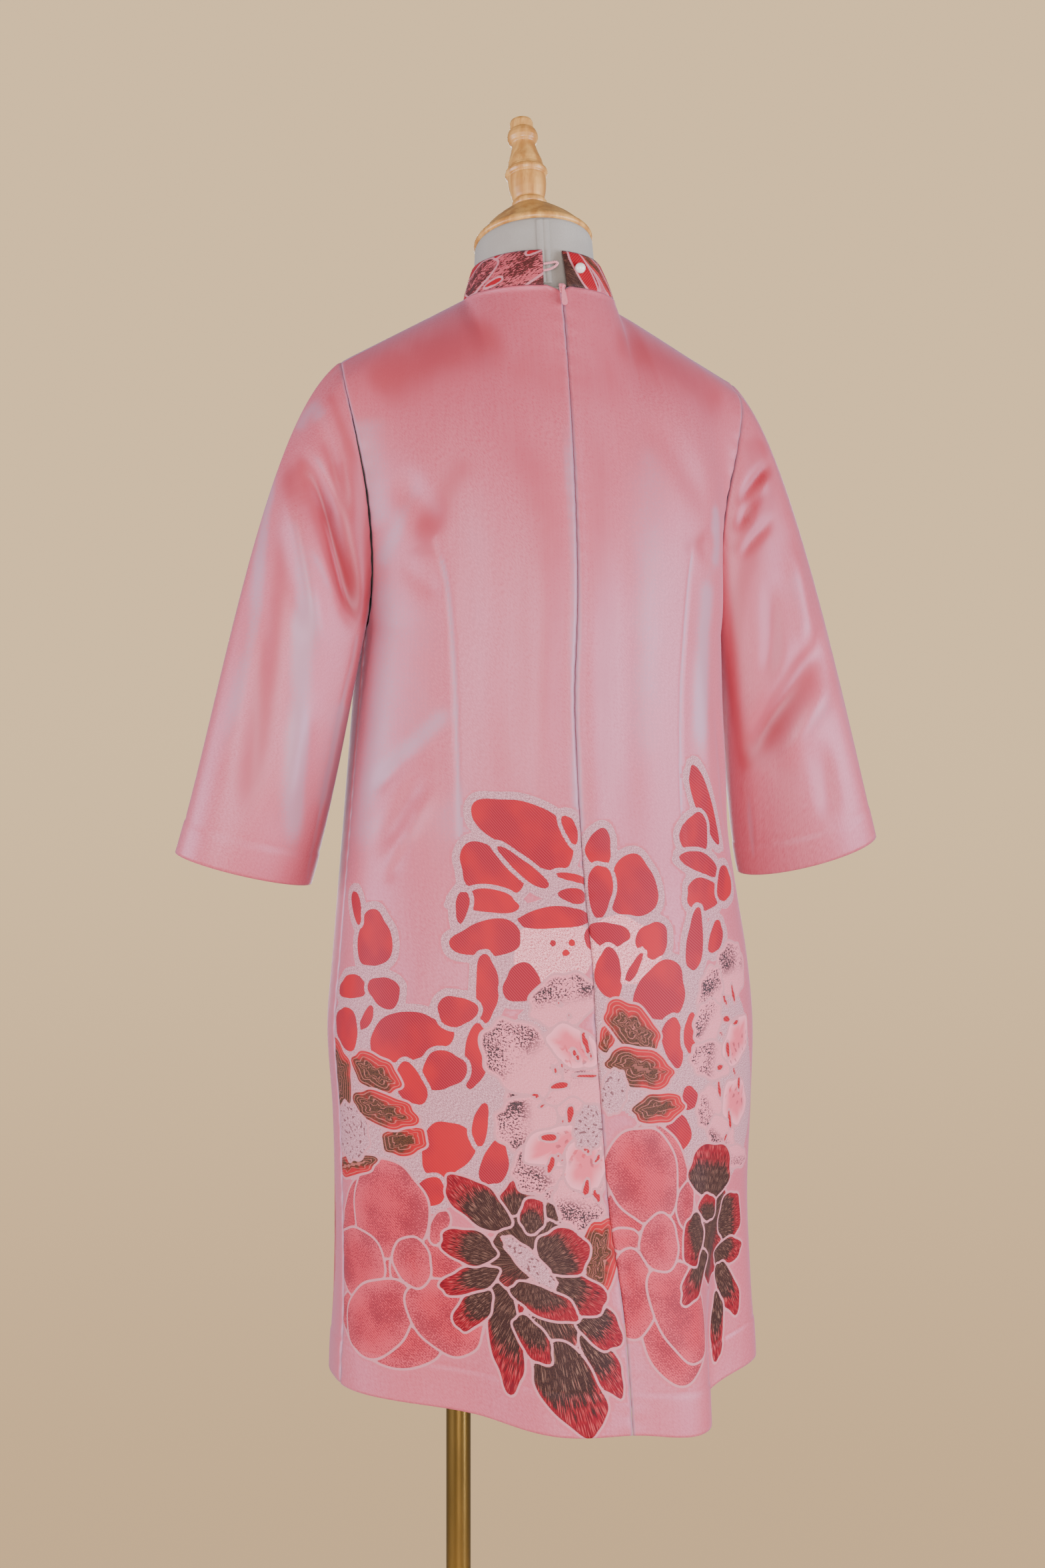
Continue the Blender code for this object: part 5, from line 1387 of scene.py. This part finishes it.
def flowered_satin(name):
    """The satin with its woven border of flowers, read from the values at the cloth's points."""
    f = Finish(name)
    # The ground carries the same painted shade and sheen as the plain satin
    tone, grain = satin_tone(f)
    tone = f.mix(0.45, tone, (0.53, 0.150, 0.200))
    weave = f.value("edge"), f.value("inside"), f.value("tip"), f.value("fan"), f.value("blot")
    edge, inside, tip, fan, blot = weave
    slant = twill(f, 0.0019, -0.5, 0.7)
    fine = f.noise(f.cloth(1500, 620, 0.7), 2.0, 0.7)
    lilac = f.mix(f.ramp(fine, 0.40, 0.60), (0.32, 0.125, 0.150), (0.62, 0.30, 0.345))

    first = f.maths("GREATER_THAN", edge, 0.0)
    side_gap = f.maths("SUBTRACT", f.value("kind_a"), f.value("kind_b"))
    woven_kind = f.maths("ADD", f.value("kind_b"), f.times(first, side_gap))
    streaks = f.node("ShaderNodeCombineXYZ")
    f.feed(streaks.inputs[0], f.times(fan, 150.0))
    f.feed(streaks.inputs[1], f.times(tip, 7.0))

    def is_kind(kind):
        return f.maths("COMPARE", woven_kind, float(KINDS.index(kind)), 0.5)

    def near_outline(width, soft=0.0003):
        return f.ramp(f.maths("ABSOLUTE", edge), width + soft, width - soft)

    # the pale glittering patch, the band round the red petals, and the petals themselves
    veil = f.mix(f.ramp(fine, 0.42, 0.56), (0.52, 0.11, 0.13), (0.90, 0.40, 0.44))
    tone = f.mix(f.ramp(f.value("veil"), 0.45, 0.55), tone, veil)
    off_veil = f.ramp(f.value("veil"), 0.55, 0.45)
    tone = f.mix(f.times(f.ramp(blot, -BAND - 0.0002, -BAND + 0.0002), off_veil), tone, lilac)
    red = f.mix(slant, (0.25, 0.004, 0.013), (0.36, 0.020, 0.034))
    # Brighter red in random patches over the red petals: a painted highlight
    red = f.mix(f.ramp(f.noise(f.cloth(26, 20), 2.0), 0.40, 0.66, 0.0, 0.75), red, (0.47, 0.006, 0.013))
    tone = f.mix(f.ramp(blot, -0.0002, 0.0002), tone, red)

    # rose-red petals with dark specks
    specks = speckle(f, 760, 0.48, 0.56, 34, 0.62)
    mottle = f.mix(slant, (0.42, 0.022, 0.038), (0.55, 0.052, 0.074))
    mottle = f.mix(f.ramp(inside, 0.001, 0.020, 0.45, 0.0), mottle, (0.60, 0.085, 0.115))
    mottle = f.mix(f.times(specks, 0.60), mottle, (0.13, 0.012, 0.020))
    tone = f.mix(is_kind("mottle"), tone, mottle)

    # pale petals: grey specks towards the rim, and dark red strokes towards the root
    rim = speckle(f, 640, 0.49, 0.53, 48, 0.45)
    pale = f.mix(f.ramp(fine, 0.35, 0.65), (0.60, 0.170, 0.205), (0.72, 0.240, 0.285))
    rim_share = f.times(rim, f.ramp(tip, 0.35, 0.60), f.ramp(inside, 0.0015, 0.004))
    rim_share = f.times(rim_share, f.ramp(inside, 0.030, 0.016))
    pale = f.mix(rim_share, pale, (0.045, 0.026, 0.026))
    strokes = f.ramp(f.maths("SINE", f.times(fan, 26.0)), 0.35, 0.60)
    gate = f.ramp(f.noise(f.cloth(150, 150), 1.0), 0.50, 0.55)
    strokes = f.times(strokes, gate, f.ramp(tip, 0.62, 0.45), f.ramp(inside, 0.0015, 0.0035))
    patches = f.ramp(f.noise(f.cloth(60, 60), 1.0), 0.46, 0.54)
    stroke_tone = f.mix(patches, (0.42, 0.010, 0.020), (0.05, 0.014, 0.012))
    tone = f.mix(is_kind("pale"), tone, pale)
    rose = f.mix(f.ramp(inside, 0.001, 0.012), (0.78, 0.26, 0.31), (0.66, 0.115, 0.150))
    tone = f.mix(is_kind("rose"), tone, f.mix(f.times(strokes, 0.5), rose, stroke_tone))

    # petals that go from a red rim to brown and gold, in scallops
    ring = f.maths("FRACT", f.times(inside, 1 / 0.0036))
    ring = f.times(f.ramp(ring, 0.68, 0.82), f.ramp(ring, 1.0, 0.90))
    shade = f.noise(f.cloth(120, 120), 2.0)
    depth = f.maths("ADD", f.times(inside, 60.0), f.maths("SUBTRACT", 1.05, tip))
    depth = f.maths("ADD", depth, f.maths("SUBTRACT", shade, 0.5))
    brown = f.mix(f.ramp(fine, 0.35, 0.65), (0.030, 0.009, 0.005), (0.115, 0.042, 0.014))
    ember = f.mix(f.ramp(depth, 0.62, 1.15), (0.42, 0.006, 0.012), brown)
    ember = f.mix(f.times(ring, 0.62), ember, (0.50, 0.13, 0.11))
    tone = f.mix(is_kind("ember"), tone, ember)

    # dark petals with red tips and fine lines along them
    streak = f.noise(streaks.outputs[0], 1.0, 0.5)
    line = f.times(f.ramp(streak, 0.57, 0.64), f.ramp(inside, 0.0008, 0.0026), 0.60)
    reach = f.maths("ADD", tip, f.times(f.maths("SUBTRACT", streak, 0.5), 0.85))
    reach = f.maths("ADD", reach, f.times(f.ramp(inside, 0.007, 0.0), 0.30))
    dark = f.mix(f.ramp(fine, 0.35, 0.65), (0.022, 0.007, 0.006), (0.055, 0.020, 0.012))
    rim_red = f.mix(f.ramp(streak, 0.42, 0.60), (0.15, 0.003, 0.008), (0.30, 0.006, 0.014))
    red_share = f.ramp(reach, 0.62, 0.78)
    dark = f.mix(red_share, dark, rim_red)
    dark = f.mix(line, dark, f.mix(red_share, (0.300, 0.150, 0.105), (0.46, 0.080, 0.075)))
    tone = f.mix(is_kind("dark"), tone, dark)

    scarlet = f.mix(slant, (0.30, 0.004, 0.010), (0.44, 0.014, 0.024))
    scarlet = f.mix(f.ramp(inside, 0.0004, 0.0016), (0.10, 0.008, 0.010), scarlet)
    tone = f.mix(is_kind("scarlet"), tone, scarlet)
    clouds = speckle(f, 520, 0.44, 0.49, 55, 0.70)
    dust = f.mix(slant, (0.44, 0.060, 0.080), (0.60, 0.125, 0.150))
    tone = f.mix(is_kind("dust"), tone, f.mix(f.times(clouds, 0.92), dust, (0.050, 0.015, 0.011)))
    dots = f.ramp(f.noise(f.cloth(330, 330), 0.0), 0.64, 0.68)
    tone = f.mix(is_kind("core"), tone, f.mix(f.times(dots, 0.8), lilac, (0.10, 0.03, 0.03)))
    tone = f.mix(near_outline(OUTLINE), tone, f.mix(fine, (0.44, 0.135, 0.160), (0.62, 0.26, 0.295)))
    relief = f.maths("ADD", f.times(grain, 0.6), f.times(slant, 0.25))
    f.set(Base_Color=tone, Normal=f.bump(relief, 0.25, 0.00018), **FLOWER_GLOSS)
    return f.material


def light_wood():
    f = Finish("light wood")
    grain = f.noise(f.place((95, 95, 7)), 3.0, 0.6, twist=0.4)
    pores = f.noise(f.place((700, 700, 45)), 2.0, 0.6)
    tone = f.mix(f.ramp(grain, 0.32, 0.68), (0.46, 0.190, 0.042), (0.74, 0.385, 0.105))
    tone = f.mix(f.ramp(pores, 0.58, 0.72, 0.0, 0.5), tone, (0.36, 0.13, 0.04))
    gloss = f.ramp(grain, 0.3, 0.7, 0.36, 0.48)
    f.set(Base_Color=tone, Roughness=gloss, Coat_Weight=0.25, Coat_Roughness=0.22)
    return f.set(Normal=f.bump(pores, 0.15, 0.0002))


def polished_brass():
    f = Finish("polished brass")
    wear = f.noise(f.place((30, 30, 9)), 3.0, 0.6)
    lines = f.noise(f.place((60, 60, 1400)), 2.0, 0.5)
    tone = f.mix(f.ramp(wear, 0.35, 0.70), (0.48, 0.285, 0.082), (0.43, 0.250, 0.070))
    f.set(Base_Color=tone, Metallic=1.0, Roughness=f.ramp(wear, 0.3, 0.7, 0.22, 0.27))
    return f.set(Normal=f.bump(lines, 0.04, 0.0001))


def form_linen():
    f = Finish("form linen")
    warp = f.node("ShaderNodeSeparateXYZ")
    f.feed(warp.inputs[0], f.place((2 * math.pi / 0.0011,) * 3))
    weave = f.times(f.maths("SINE", warp.outputs[0]), f.maths("SINE", warp.outputs[2]))
    threads = f.noise(f.place((900, 900, 900)), 2.0, 0.6)
    wide = f.noise(f.place((22, 22, 22)), 2.0)
    tone = f.mix(f.ramp(wide, 0.35, 0.65), (0.31, 0.275, 0.245), (0.37, 0.335, 0.305))
    tone = f.mix(f.ramp(threads, 0.40, 0.70, 0.0, 0.35), tone, (0.27, 0.24, 0.22))
    height = f.maths("ADD", f.times(weave, 0.3), threads)
    return f.set(Base_Color=tone, Roughness=0.85, Sheen_Weight=0.15, Normal=f.bump(height, 0.35, 0.0003))


def pearl_glaze():
    f = Finish("pearl")
    drift = f.noise(f.place((240, 240, 240)), 2.0)
    tone = f.mix(drift, (0.86, 0.76, 0.66), (0.80, 0.72, 0.74))
    return f.set(Base_Color=tone, Roughness=0.22, Coat_Weight=0.6, Coat_Roughness=0.08)


def thread_finish():
    f = Finish("pink thread")
    fibres = f.noise(f.place((2600, 2600, 700)), 2.0, 0.6)
    tone = f.mix(f.ramp(fibres, 0.35, 0.65), (0.62, 0.20, 0.24), (0.80, 0.33, 0.38))
    return f.set(Base_Color=tone, Roughness=0.60, Sheen_Weight=0.3, Normal=f.bump(fibres, 0.3, 0.0001))


def pink_enamel():
    f = Finish("pink enamel")
    wear = f.noise(f.place((420, 420, 420)), 3.0, 0.6)
    tone = f.mix(f.ramp(wear, 0.55, 0.75, 0.0, 0.6), (0.70, 0.20, 0.25), (0.58, 0.15, 0.19))
    gloss = f.ramp(wear, 0.3, 0.7, 0.22, 0.36)
    return f.set(Base_Color=tone, Roughness=gloss, Coat_Weight=0.3, Coat_Roughness=0.15)


def reverse_side():
    """The satin's duller back, with threads of the flowers lying across it."""
    f = Finish("satin reverse")
    grain = f.noise(f.cloth(700, 700), 3.0, 0.7)
    floats = f.noise(f.cloth(18, 420), 2.0, 0.5)
    tone = f.mix(f.ramp(grain, 0.35, 0.65), (0.36, 0.070, 0.090), (0.50, 0.140, 0.170))
    tone = f.mix(f.ramp(floats, 0.55, 0.70, 0.0, 0.4), tone, (0.55, 0.22, 0.25))
    return f.set(Base_Color=tone, Roughness=0.8, Normal=f.bump(grain, 0.3, 0.0002))


DRESS_WALL = 0.0016


def form_points():
    """The form's torso, from its bottom to its neckline, all round, with an arm plate at each side."""
    around = np.linspace(0, 1, 41)
    rises = np.linspace(0, 1, 41)
    heights = np.linspace(FORM_BOTTOM, ARMPIT_HEIGHT, 50)
    quarters = {}
    for side in (1, -1):
        for back in (True, False):
            spans, levels = np.meshgrid(around, heights)
            low = form_lower(side, back, spans, levels)
            outer = yoke(side, back, around[None], rises[:, None])
            normals = outward(outer) * (-side if back else side)
            normals[-1, around >= NECK_SHARE, 1] = 0
            room = FORM_CLEAR_TOP + (FORM_CLEAR_LOW - FORM_CLEAR_TOP) * ease((1 - rises) / FORM_CLEAR_RISE)
            high = outer - unit(normals) * (DRESS_WALL + room)[:, None, None]
            quarters[side, back] = np.concatenate([low, high[1:]])

    def arm_plate(side):
        rear, fore = quarters[side, True][:, -1], quarters[side, False][:, -1]
        share = np.linspace(0, 1, 9)[1:-1][None, :, None]
        plate = rear[:, None] + (fore - rear)[:, None] * (share if side < 0 else 1 - share)
        width = np.linalg.norm(rear - fore, axis=1)[:, None]
        bulge = side * ARM_PLATE_BULGE * np.clip(width / ARM_PLATE_WIDTH, 0, 1)
        plate[..., 0] += bulge * np.sin(math.pi * share[..., 0])
        return plate

    columns = [
        quarters[1, True][:, ::-1],
        quarters[-1, True][:, 1:],
        arm_plate(-1),
        quarters[-1, False][:, ::-1],
        quarters[1, False][:, 1:],
        arm_plate(1),
        quarters[1, True][:, -1:],
    ]
    return np.concatenate(columns, axis=1)


def add_form(finish):
    points = form_points()
    mesh = grid_mesh("form", points)
    bm = bmesh.new()
    bm.from_mesh(mesh)
    bmesh.ops.remove_doubles(bm, verts=bm.verts[:], dist=2e-4)
    rim = [edge for edge in bm.edges if edge.is_boundary and edge.verts[0].co.z > ARMPIT_HEIGHT]
    for level, radius in NECK_RINGS:
        made = bmesh.ops.extrude_edge_only(bm, edges=rim)["geom"]
        rim = [item for item in made if isinstance(item, bmesh.types.BMEdge) and item.is_boundary]
        for vert in {vert for edge in rim for vert in edge.verts}:
            turn = math.atan2(vert.co.y - CAP_CENTRE[1], vert.co.x - BODY_X)
            vert.co = neck_point(level, radius, turn)
    bmesh.ops.holes_fill(bm, edges=[edge for edge in bm.edges if edge.is_boundary])
    bmesh.ops.recalc_face_normals(bm, faces=bm.faces[:])
    bm.to_mesh(mesh)
    bm.free()
    finished("form_cover", mesh, [finish], "form_body")


NECK_RINGS = (
    (0.10, 0.0615), (0.22, 0.0575), (0.36, 0.0550), (0.50, 0.0538), (0.64, 0.0529), (0.78, 0.0522),
    (0.90, 0.0517), (0.97, 0.0514), (1.0, 0.0505),
)
NECK_STRIP_TURN = math.radians(81)
NECK_STRIP_WIDTH = 0.0100
NECK_STRIP_STAND = 0.0004
NECK_STRIP_THICKNESS = 0.0009
NECK_STRIP_RELIEF = (-0.0004, 0.0004, 0.0006, 0.0004, -0.0005, 0.0004, 0.0006, 0.0004, -0.0004)


def neck_point(level, radius, turn):
    """A point of the neck at this bearing, from the neckline (level 0) to the cap (level 1)."""
    middle = Vector(NECK_BASE).lerp(Vector(CAP_CENTRE), level) + Vector((BODY_X, 0, 0))
    rear = Vector((0, math.cos(CAP_TILT), math.sin(CAP_TILT)))
    return middle + Vector((radius * math.cos(turn), 0, 0)) + rear * radius * math.sin(turn)


def add_neck_strip(finish):
    """The covered seam down the back of the form's neck: two rolled edges with a groove between."""
    columns = len(NECK_STRIP_RELIEF)
    rings = [(0.16, 0.0595)] + list(NECK_RINGS[1:-1])
    points = np.empty((len(rings), columns, 3))
    for row, (level, radius) in enumerate(rings):
        for column, rise in enumerate(NECK_STRIP_RELIEF):
            turn = NECK_STRIP_TURN + (column / (columns - 1) - 0.5) * NECK_STRIP_WIDTH / radius
            points[row, column] = neck_point(level, radius + NECK_STRIP_STAND + rise, turn)
    points[..., 0] -= BODY_X
    mesh = grid_mesh("neck_strip", points[:, ::-1])
    strip = finished("neck_strip", mesh, [finish])
    finer = strip.modifiers.new("finer", "SUBSURF")
    finer.levels = finer.render_levels = 2
    thickened(strip, NECK_STRIP_THICKNESS)


def rounded(profile, radius, steps=4):
    """The profile with its corners rounded, and a close ring beside each curve on a long side."""
    points = [Vector(profile[0])]
    for before, corner, after in zip(profile, profile[1:], profile[2:]):
        before, corner, after = Vector(before), Vector(corner), Vector(after)
        starts = []
        for other in (before, after):
            side = other - corner
            reach = side.normalized() * min(radius, side.length * 0.45)
            starts.append((corner + reach, corner + reach * 1.4, side.length))
        (start, ahead, long_in), (stop, beyond, long_out) = starts
        if long_in > 4 * radius:
            points.append(ahead)
        for k in range(steps + 1):
            share = k / steps
            points.append(start * (1 - share) ** 2 + corner * 2 * share * (1 - share) + stop * share**2)
        if long_out > 4 * radius:
            points.append(beyond)
    points.append(Vector(profile[-1]))
    return points


def add_turned(name, profile, finish, matrix, radius, steps=72):
    """A piece turned on a lathe, in place of the node of the same name."""
    bm = bmesh.new()
    verts = [bm.verts.new((point.x, 0, point.y)) for point in rounded(profile, radius)]
    edges = [bm.edges.new(pair) for pair in zip(verts, verts[1:])]
    bmesh.ops.spin(
        bm, geom=verts + edges, cent=(0, 0, 0), axis=(0, 0, 1), angle=2 * math.pi, steps=steps,
        use_merge=True,
    )
    bmesh.ops.remove_doubles(bm, verts=bm.verts[:], dist=1e-6)
    bmesh.ops.recalc_face_normals(bm, faces=bm.faces[:])
    bmesh.ops.transform(bm, matrix=matrix, verts=bm.verts[:])
    finished(name + "_turned", mesh_from(bm, name + "_turned"), [finish], name)


FINIAL_TURNED = (
    (0, 0), (0.0145, 0), (0.0155, 0.0012), (0.0158, 0.0032), (0.0153, 0.0052), (0.0138, 0.0064),
    (0.0136, 0.0074),
    (0.0144, 0.0100), (0.0158, 0.0160), (0.0167, 0.0225), (0.0170, 0.0280), (0.0166, 0.0300),
    (0.0181, 0.0312),
    (0.0190, 0.0336), (0.0185, 0.0358), (0.0169, 0.0373), (0.0167, 0.0384), (0.0160, 0.0398),
    (0.0150, 0.0455),
    (0.0126, 0.0525), (0.0109, 0.0590), (0.0105, 0.0615), (0.0107, 0.0632), (0.0124, 0.0650),
    (0.0136, 0.0685),
    (0.0135, 0.0716), (0.0122, 0.0755), (0.0104, 0.0770), (0.0103, 0.0786), (0.0103, 0.0840),
    (0.0092, 0.0866),
    (0, 0.0870),
)


POLE_ROUND = 0.0005
FLANGE_ROUND = 0.0012
CAP_ROUND = 0.0012
FINIAL_ROUND = 0.0006


def add_cap_and_finial(finish):
    """The turned disc on the neck, and the turned knob on the disc."""
    seat = Matrix.Translation((BODY_X + CAP_CENTRE[0], CAP_CENTRE[1], CAP_CENTRE[2]))
    seat = seat @ Matrix.Rotation(CAP_TILT, 4, "X")
    on_neck = seat @ Matrix.Translation((0, 0, TOUCH))
    on_cap = seat @ Matrix.Translation((0, 0, CAP_PROFILE[-1][1] + 2 * TOUCH))
    add_turned("neck_cap", CAP_PROFILE, finish, on_neck, CAP_ROUND, 96)
    add_turned("finial", FINIAL_TURNED, finish, on_cap, FINIAL_ROUND, 64)


def add_stand(finish):
    """The pole, its flange under the torso and its foot on the floor."""
    inner = POLE_RADIUS + TOUCH
    foot = (
        (0, 0), (FOOT_RADIUS, 0), (FOOT_RADIUS, FOOT_THICKNESS), (SOCKET_RADIUS, FOOT_THICKNESS),
        (SOCKET_RADIUS, SOCKET_HEIGHT), (inner, SOCKET_HEIGHT), (inner, FOOT_THICKNESS),
        (0, FOOT_THICKNESS),
    )
    top = FORM_BOTTOM - TOUCH
    flange = (
        (inner, top - FLANGE_HEIGHT), (SOCKET_RADIUS, top - FLANGE_HEIGHT),
        (SOCKET_RADIUS, top - FLANGE_LIP),
        (FLANGE_RADIUS, top - FLANGE_LIP), (FLANGE_RADIUS, top), (inner, top),
        (inner, top - FLANGE_HEIGHT),
    )
    low = FOOT_THICKNESS + TOUCH
    still = Matrix.Identity(4)
    add_turned("base", foot, finish, still, EDGE_ROUND, 128)
    pole = (0, low), (POLE_RADIUS, low), (POLE_RADIUS, top), (0, top)
    add_turned("pole", pole, finish, still, POLE_ROUND)
    add_turned("pole_flange", flange, finish, still, FLANGE_ROUND)


def add_button(finish):
    """A pearl with a flat back."""
    point, out = collar_seat(-1, BUTTON_AROUND, BUTTON_SHARE)
    flat = -BUTTON_RADIUS * BUTTON_FLAT
    bm = bmesh.new()
    bmesh.ops.create_uvsphere(bm, u_segments=48, v_segments=24, radius=BUTTON_RADIUS)
    whole = bm.verts[:] + bm.edges[:] + bm.faces[:]
    bmesh.ops.bisect_plane(bm, geom=whole, plane_co=(0, 0, flat), plane_no=(0, 0, -1), clear_outer=True)
    bmesh.ops.holes_fill(bm, edges=[edge for edge in bm.edges if edge.is_boundary])
    bmesh.ops.recalc_face_normals(bm, faces=bm.faces[:])
    turn = Vector(out).to_track_quat("Z", "Y").to_matrix().to_4x4()
    spot = Vector(point + out * (TOUCH - flat)) + Vector((BODY_X, 0, 0))
    bmesh.ops.transform(bm, matrix=Matrix.Translation(spot) @ turn, verts=bm.verts[:])
    finished("pearl_button", mesh_from(bm, "pearl_button"), [finish], "button")


THREAD_RADIUS = 0.00065
THREAD_TWIST = 0.0034
THREAD_SPREAD = 0.8
LOOP_TILT = 0.24
LOOP_SINK = 0.0009


def add_loop(finish):
    """The button's loop, of two threads twisted together."""
    start = math.asin(COLLAR_END[1] / COLLAR_TOP_SIDE[0]) / (math.pi / 2)
    point, out = collar_seat(1, start, LOOP_SHARE)
    low, high = (collar_edge(1, True, 0.2, top) for top in (False, True))
    up = (high - low) / np.linalg.norm(high - low)
    turn = np.linspace(0, math.pi, 160)[:, None]
    line = point + (BODY_X, 0, 0) - np.array([1, 0, 0]) * (LOOP_REACH * np.sin(turn) ** 0.7 + TOUCH)
    line = line + up * (LOOP_HALF_HEIGHT * np.cos(turn) + LOOP_TILT * LOOP_REACH * np.sin(turn))
    line = line + out * (LOOP_STAND * np.sin(turn) - LOOP_SINK)
    run = unit(np.gradient(line, axis=0))
    side = unit(np.cross(run, out))
    face = np.cross(side, run)
    length = np.concatenate([[0], np.cumsum(np.linalg.norm(np.diff(line, axis=0), axis=1))])
    curve = bpy.data.curves.new("loop_thread", "CURVE")
    curve.dimensions = "3D"
    curve.bevel_depth = THREAD_RADIUS
    curve.bevel_resolution = 2
    curve.use_fill_caps = True
    for phase in (0, math.pi):
        twist = (length / THREAD_TWIST * 2 * math.pi + phase)[:, None]
        strand = line + (side * np.cos(twist) + face * np.sin(twist)) * THREAD_RADIUS * THREAD_SPREAD
        spline = curve.splines.new("POLY")
        spline.points.add(len(strand) - 1)
        spline.points.foreach_set("co", np.column_stack([strand, np.ones(len(strand))]).ravel())
    maker = linked("loop_thread_curve", curve)
    mesh = bpy.data.meshes.new_from_object(maker.evaluated_get(bpy.context.evaluated_depsgraph_get()))
    bpy.data.objects.remove(maker)
    finished("loop_thread", mesh, [finish], "button_loop")


TAPE_WIDTH = 0.024
TAPE_TOP_RISE = 0.93
TAPE_INSET = 0.0022
TAPE_SAG = 0.0012
TAPE_BOTTOM = 1.045


def add_tape(finish):
    """The zip's tape, just inside the two back panels."""
    low = np.linspace(TAPE_BOTTOM, ARMPIT_HEIGHT, 30)[:-1]
    rises = np.linspace(0, TAPE_TOP_RISE, 60)
    seam = np.concatenate([
        lower_body(1, True, np.zeros(len(low)), low),
        yoke(1, True, np.zeros(len(rises)), rises),
    ])
    run = np.gradient(seam, axis=0)
    inward = unit(np.stack([0 * run[:, 0], -run[:, 2], run[:, 1]], axis=1))
    across = np.linspace(-0.5, 0.5, 13)
    inset = TAPE_INSET + TAPE_SAG * (2 * across) ** 2
    points = seam[:, None] + inward[:, None] * inset[None, :, None]
    points[..., 0] += across * TAPE_WIDTH
    points = points[:, ::-1]
    girth, up = lengths(points)
    piece = cloth_piece("zip_tape", points, girth, up, (finish, finish))


def add_camera():
    turn = math.radians(CAMERA_TURN)
    way = Vector((math.sin(turn), -math.cos(turn), 0))
    right = Vector((math.cos(turn), math.sin(turn), 0))
    data = bpy.data.cameras.new("camera")
    data.lens = CAMERA_LENS
    data.sensor_width = CAMERA_SENSOR
    camera = linked("camera", data)
    camera.location = right * CAMERA_SHIFT + way * CAMERA_DISTANCE + Vector((0, 0, CAMERA_HEIGHT))
    camera.rotation_euler = (math.pi / 2, 0, turn)
    bpy.context.scene.camera = camera


CAMERA_TURN = 162.0
CAMERA_DISTANCE = 2.0
CAMERA_HEIGHT = 1.05
CAMERA_SHIFT = 0.0549
# The backdrop's colour, and below it the darker colour towards the floor, a painted shade
BACKDROP = (1.12, 0.78, 0.43, 1)
BACKDROP_LOW = (0.82, 0.54, 0.29, 1)
CAMERA_SENSOR = 36.0
CAMERA_LENS = CAMERA_SENSOR * 1750.0 * CAMERA_DISTANCE / 2352.0


def add_light(name, azimuth, distance, height, size, power, colour=(1, 1, 1)):
    """A soft lamp aimed at the dress. Azimuth is the camera's kind: 0 stands in front of the figure."""
    turn = math.radians(azimuth)
    data = bpy.data.lights.new(name, "AREA")
    data.shape = "RECTANGLE"
    data.size, data.size_y = size
    data.energy = power
    data.color = colour
    lamp = linked(name, data)
    lamp.location = (BODY_X + distance * math.sin(turn), -distance * math.cos(turn), height)
    aim = Vector((BODY_X, 0, CAMERA_HEIGHT)) - lamp.location
    lamp.rotation_euler = aim.to_track_quat("-Z", "Z").to_euler()


def add_studio():
    add_light("near_lamp", CAMERA_TURN + 3, 2.7, 1.05, (1.0, 1.5), 76, (1, 0.93, 0.88))
    add_light("right_lamp", CAMERA_TURN + 66, 2.5, 1.05, (1.3, 2.0), 105, (0.86, 0.90, 1))
    add_light("left_lamp", CAMERA_TURN - 66, 2.5, 1.05, (1.3, 2.0), 84, (0.88, 0.90, 1))
    add_light("front_lamp", CAMERA_TURN + 180, 2.9, 1.3, (2.0, 2.0), 110)
    world = bpy.data.worlds.new("studio")
    bpy.context.scene.world = world
    world.use_nodes = True
    tree = world.node_tree
    seen = tree.nodes["Background"]
    way = tree.nodes.new("ShaderNodeSeparateXYZ")
    tree.links.new(tree.nodes.new("ShaderNodeTexCoord").outputs["Generated"], way.inputs[0])
    # The backdrop seen by the camera darkens towards the floor: painted shade
    fall = tree.nodes.new("ShaderNodeMapRange")
    fall.interpolation_type = "SMOOTHSTEP"
    fall.inputs["From Min"].default_value = -0.34
    fall.inputs["From Max"].default_value = 0.06
    tree.links.new(way.outputs["Z"], fall.inputs["Value"])
    wash = tree.nodes.new("ShaderNodeMix")
    wash.data_type = "RGBA"
    wash.inputs[6].default_value = BACKDROP_LOW
    wash.inputs[7].default_value = BACKDROP
    tree.links.new(fall.outputs["Result"], wash.inputs[0])
    tree.links.new(wash.outputs[2], seen.inputs["Color"])
    glow = tree.nodes.new("ShaderNodeBackground")
    glow.inputs["Color"].default_value = (1.0, 0.95, 0.90, 1)
    glow.inputs["Strength"].default_value = 0.20
    rays = tree.nodes.new("ShaderNodeLightPath")
    either = tree.nodes.new("ShaderNodeMixShader")
    tree.links.new(rays.outputs["Is Camera Ray"], either.inputs[0])
    tree.links.new(glow.outputs[0], either.inputs[1])
    tree.links.new(seen.outputs[0], either.inputs[2])
    tree.links.new(either.outputs[0], tree.nodes["World Output"].inputs["Surface"])
    bm = bmesh.new()
    bmesh.ops.create_circle(bm, cap_ends=True, segments=96, radius=0.95)
    mesh = mesh_from(bm, "floor")
    floor = linked("floor", mesh)
    floor.location.z = -0.0002
    mesh.materials.append(Finish("pale floor").set(Base_Color=(0.62, 0.50, 0.36), Roughness=0.8))


def main():
    add_camera()
    add_studio()
    cloth = satin("shot satin")
    flowers = flowered_satin("flowered satin")
    reverse = reverse_side()
    add_back_panels((cloth, flowers, reverse))
    add_front((cloth, flowers, reverse))
    add_sleeves((cloth, reverse))
    add_collar((cloth, flowers, reverse))
    add_tape(reverse)
    linen = form_linen()
    add_form(linen)
    add_neck_strip(linen)
    add_cap_and_finial(light_wood())
    add_stand(polished_brass())
    add_button(pearl_glaze())
    add_loop(thread_finish())
    enamel = pink_enamel()
    for name in ("zip_slider", "zip_pull"):
        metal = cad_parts[name].data.materials
        metal.clear()
        metal.append(enamel)


main()
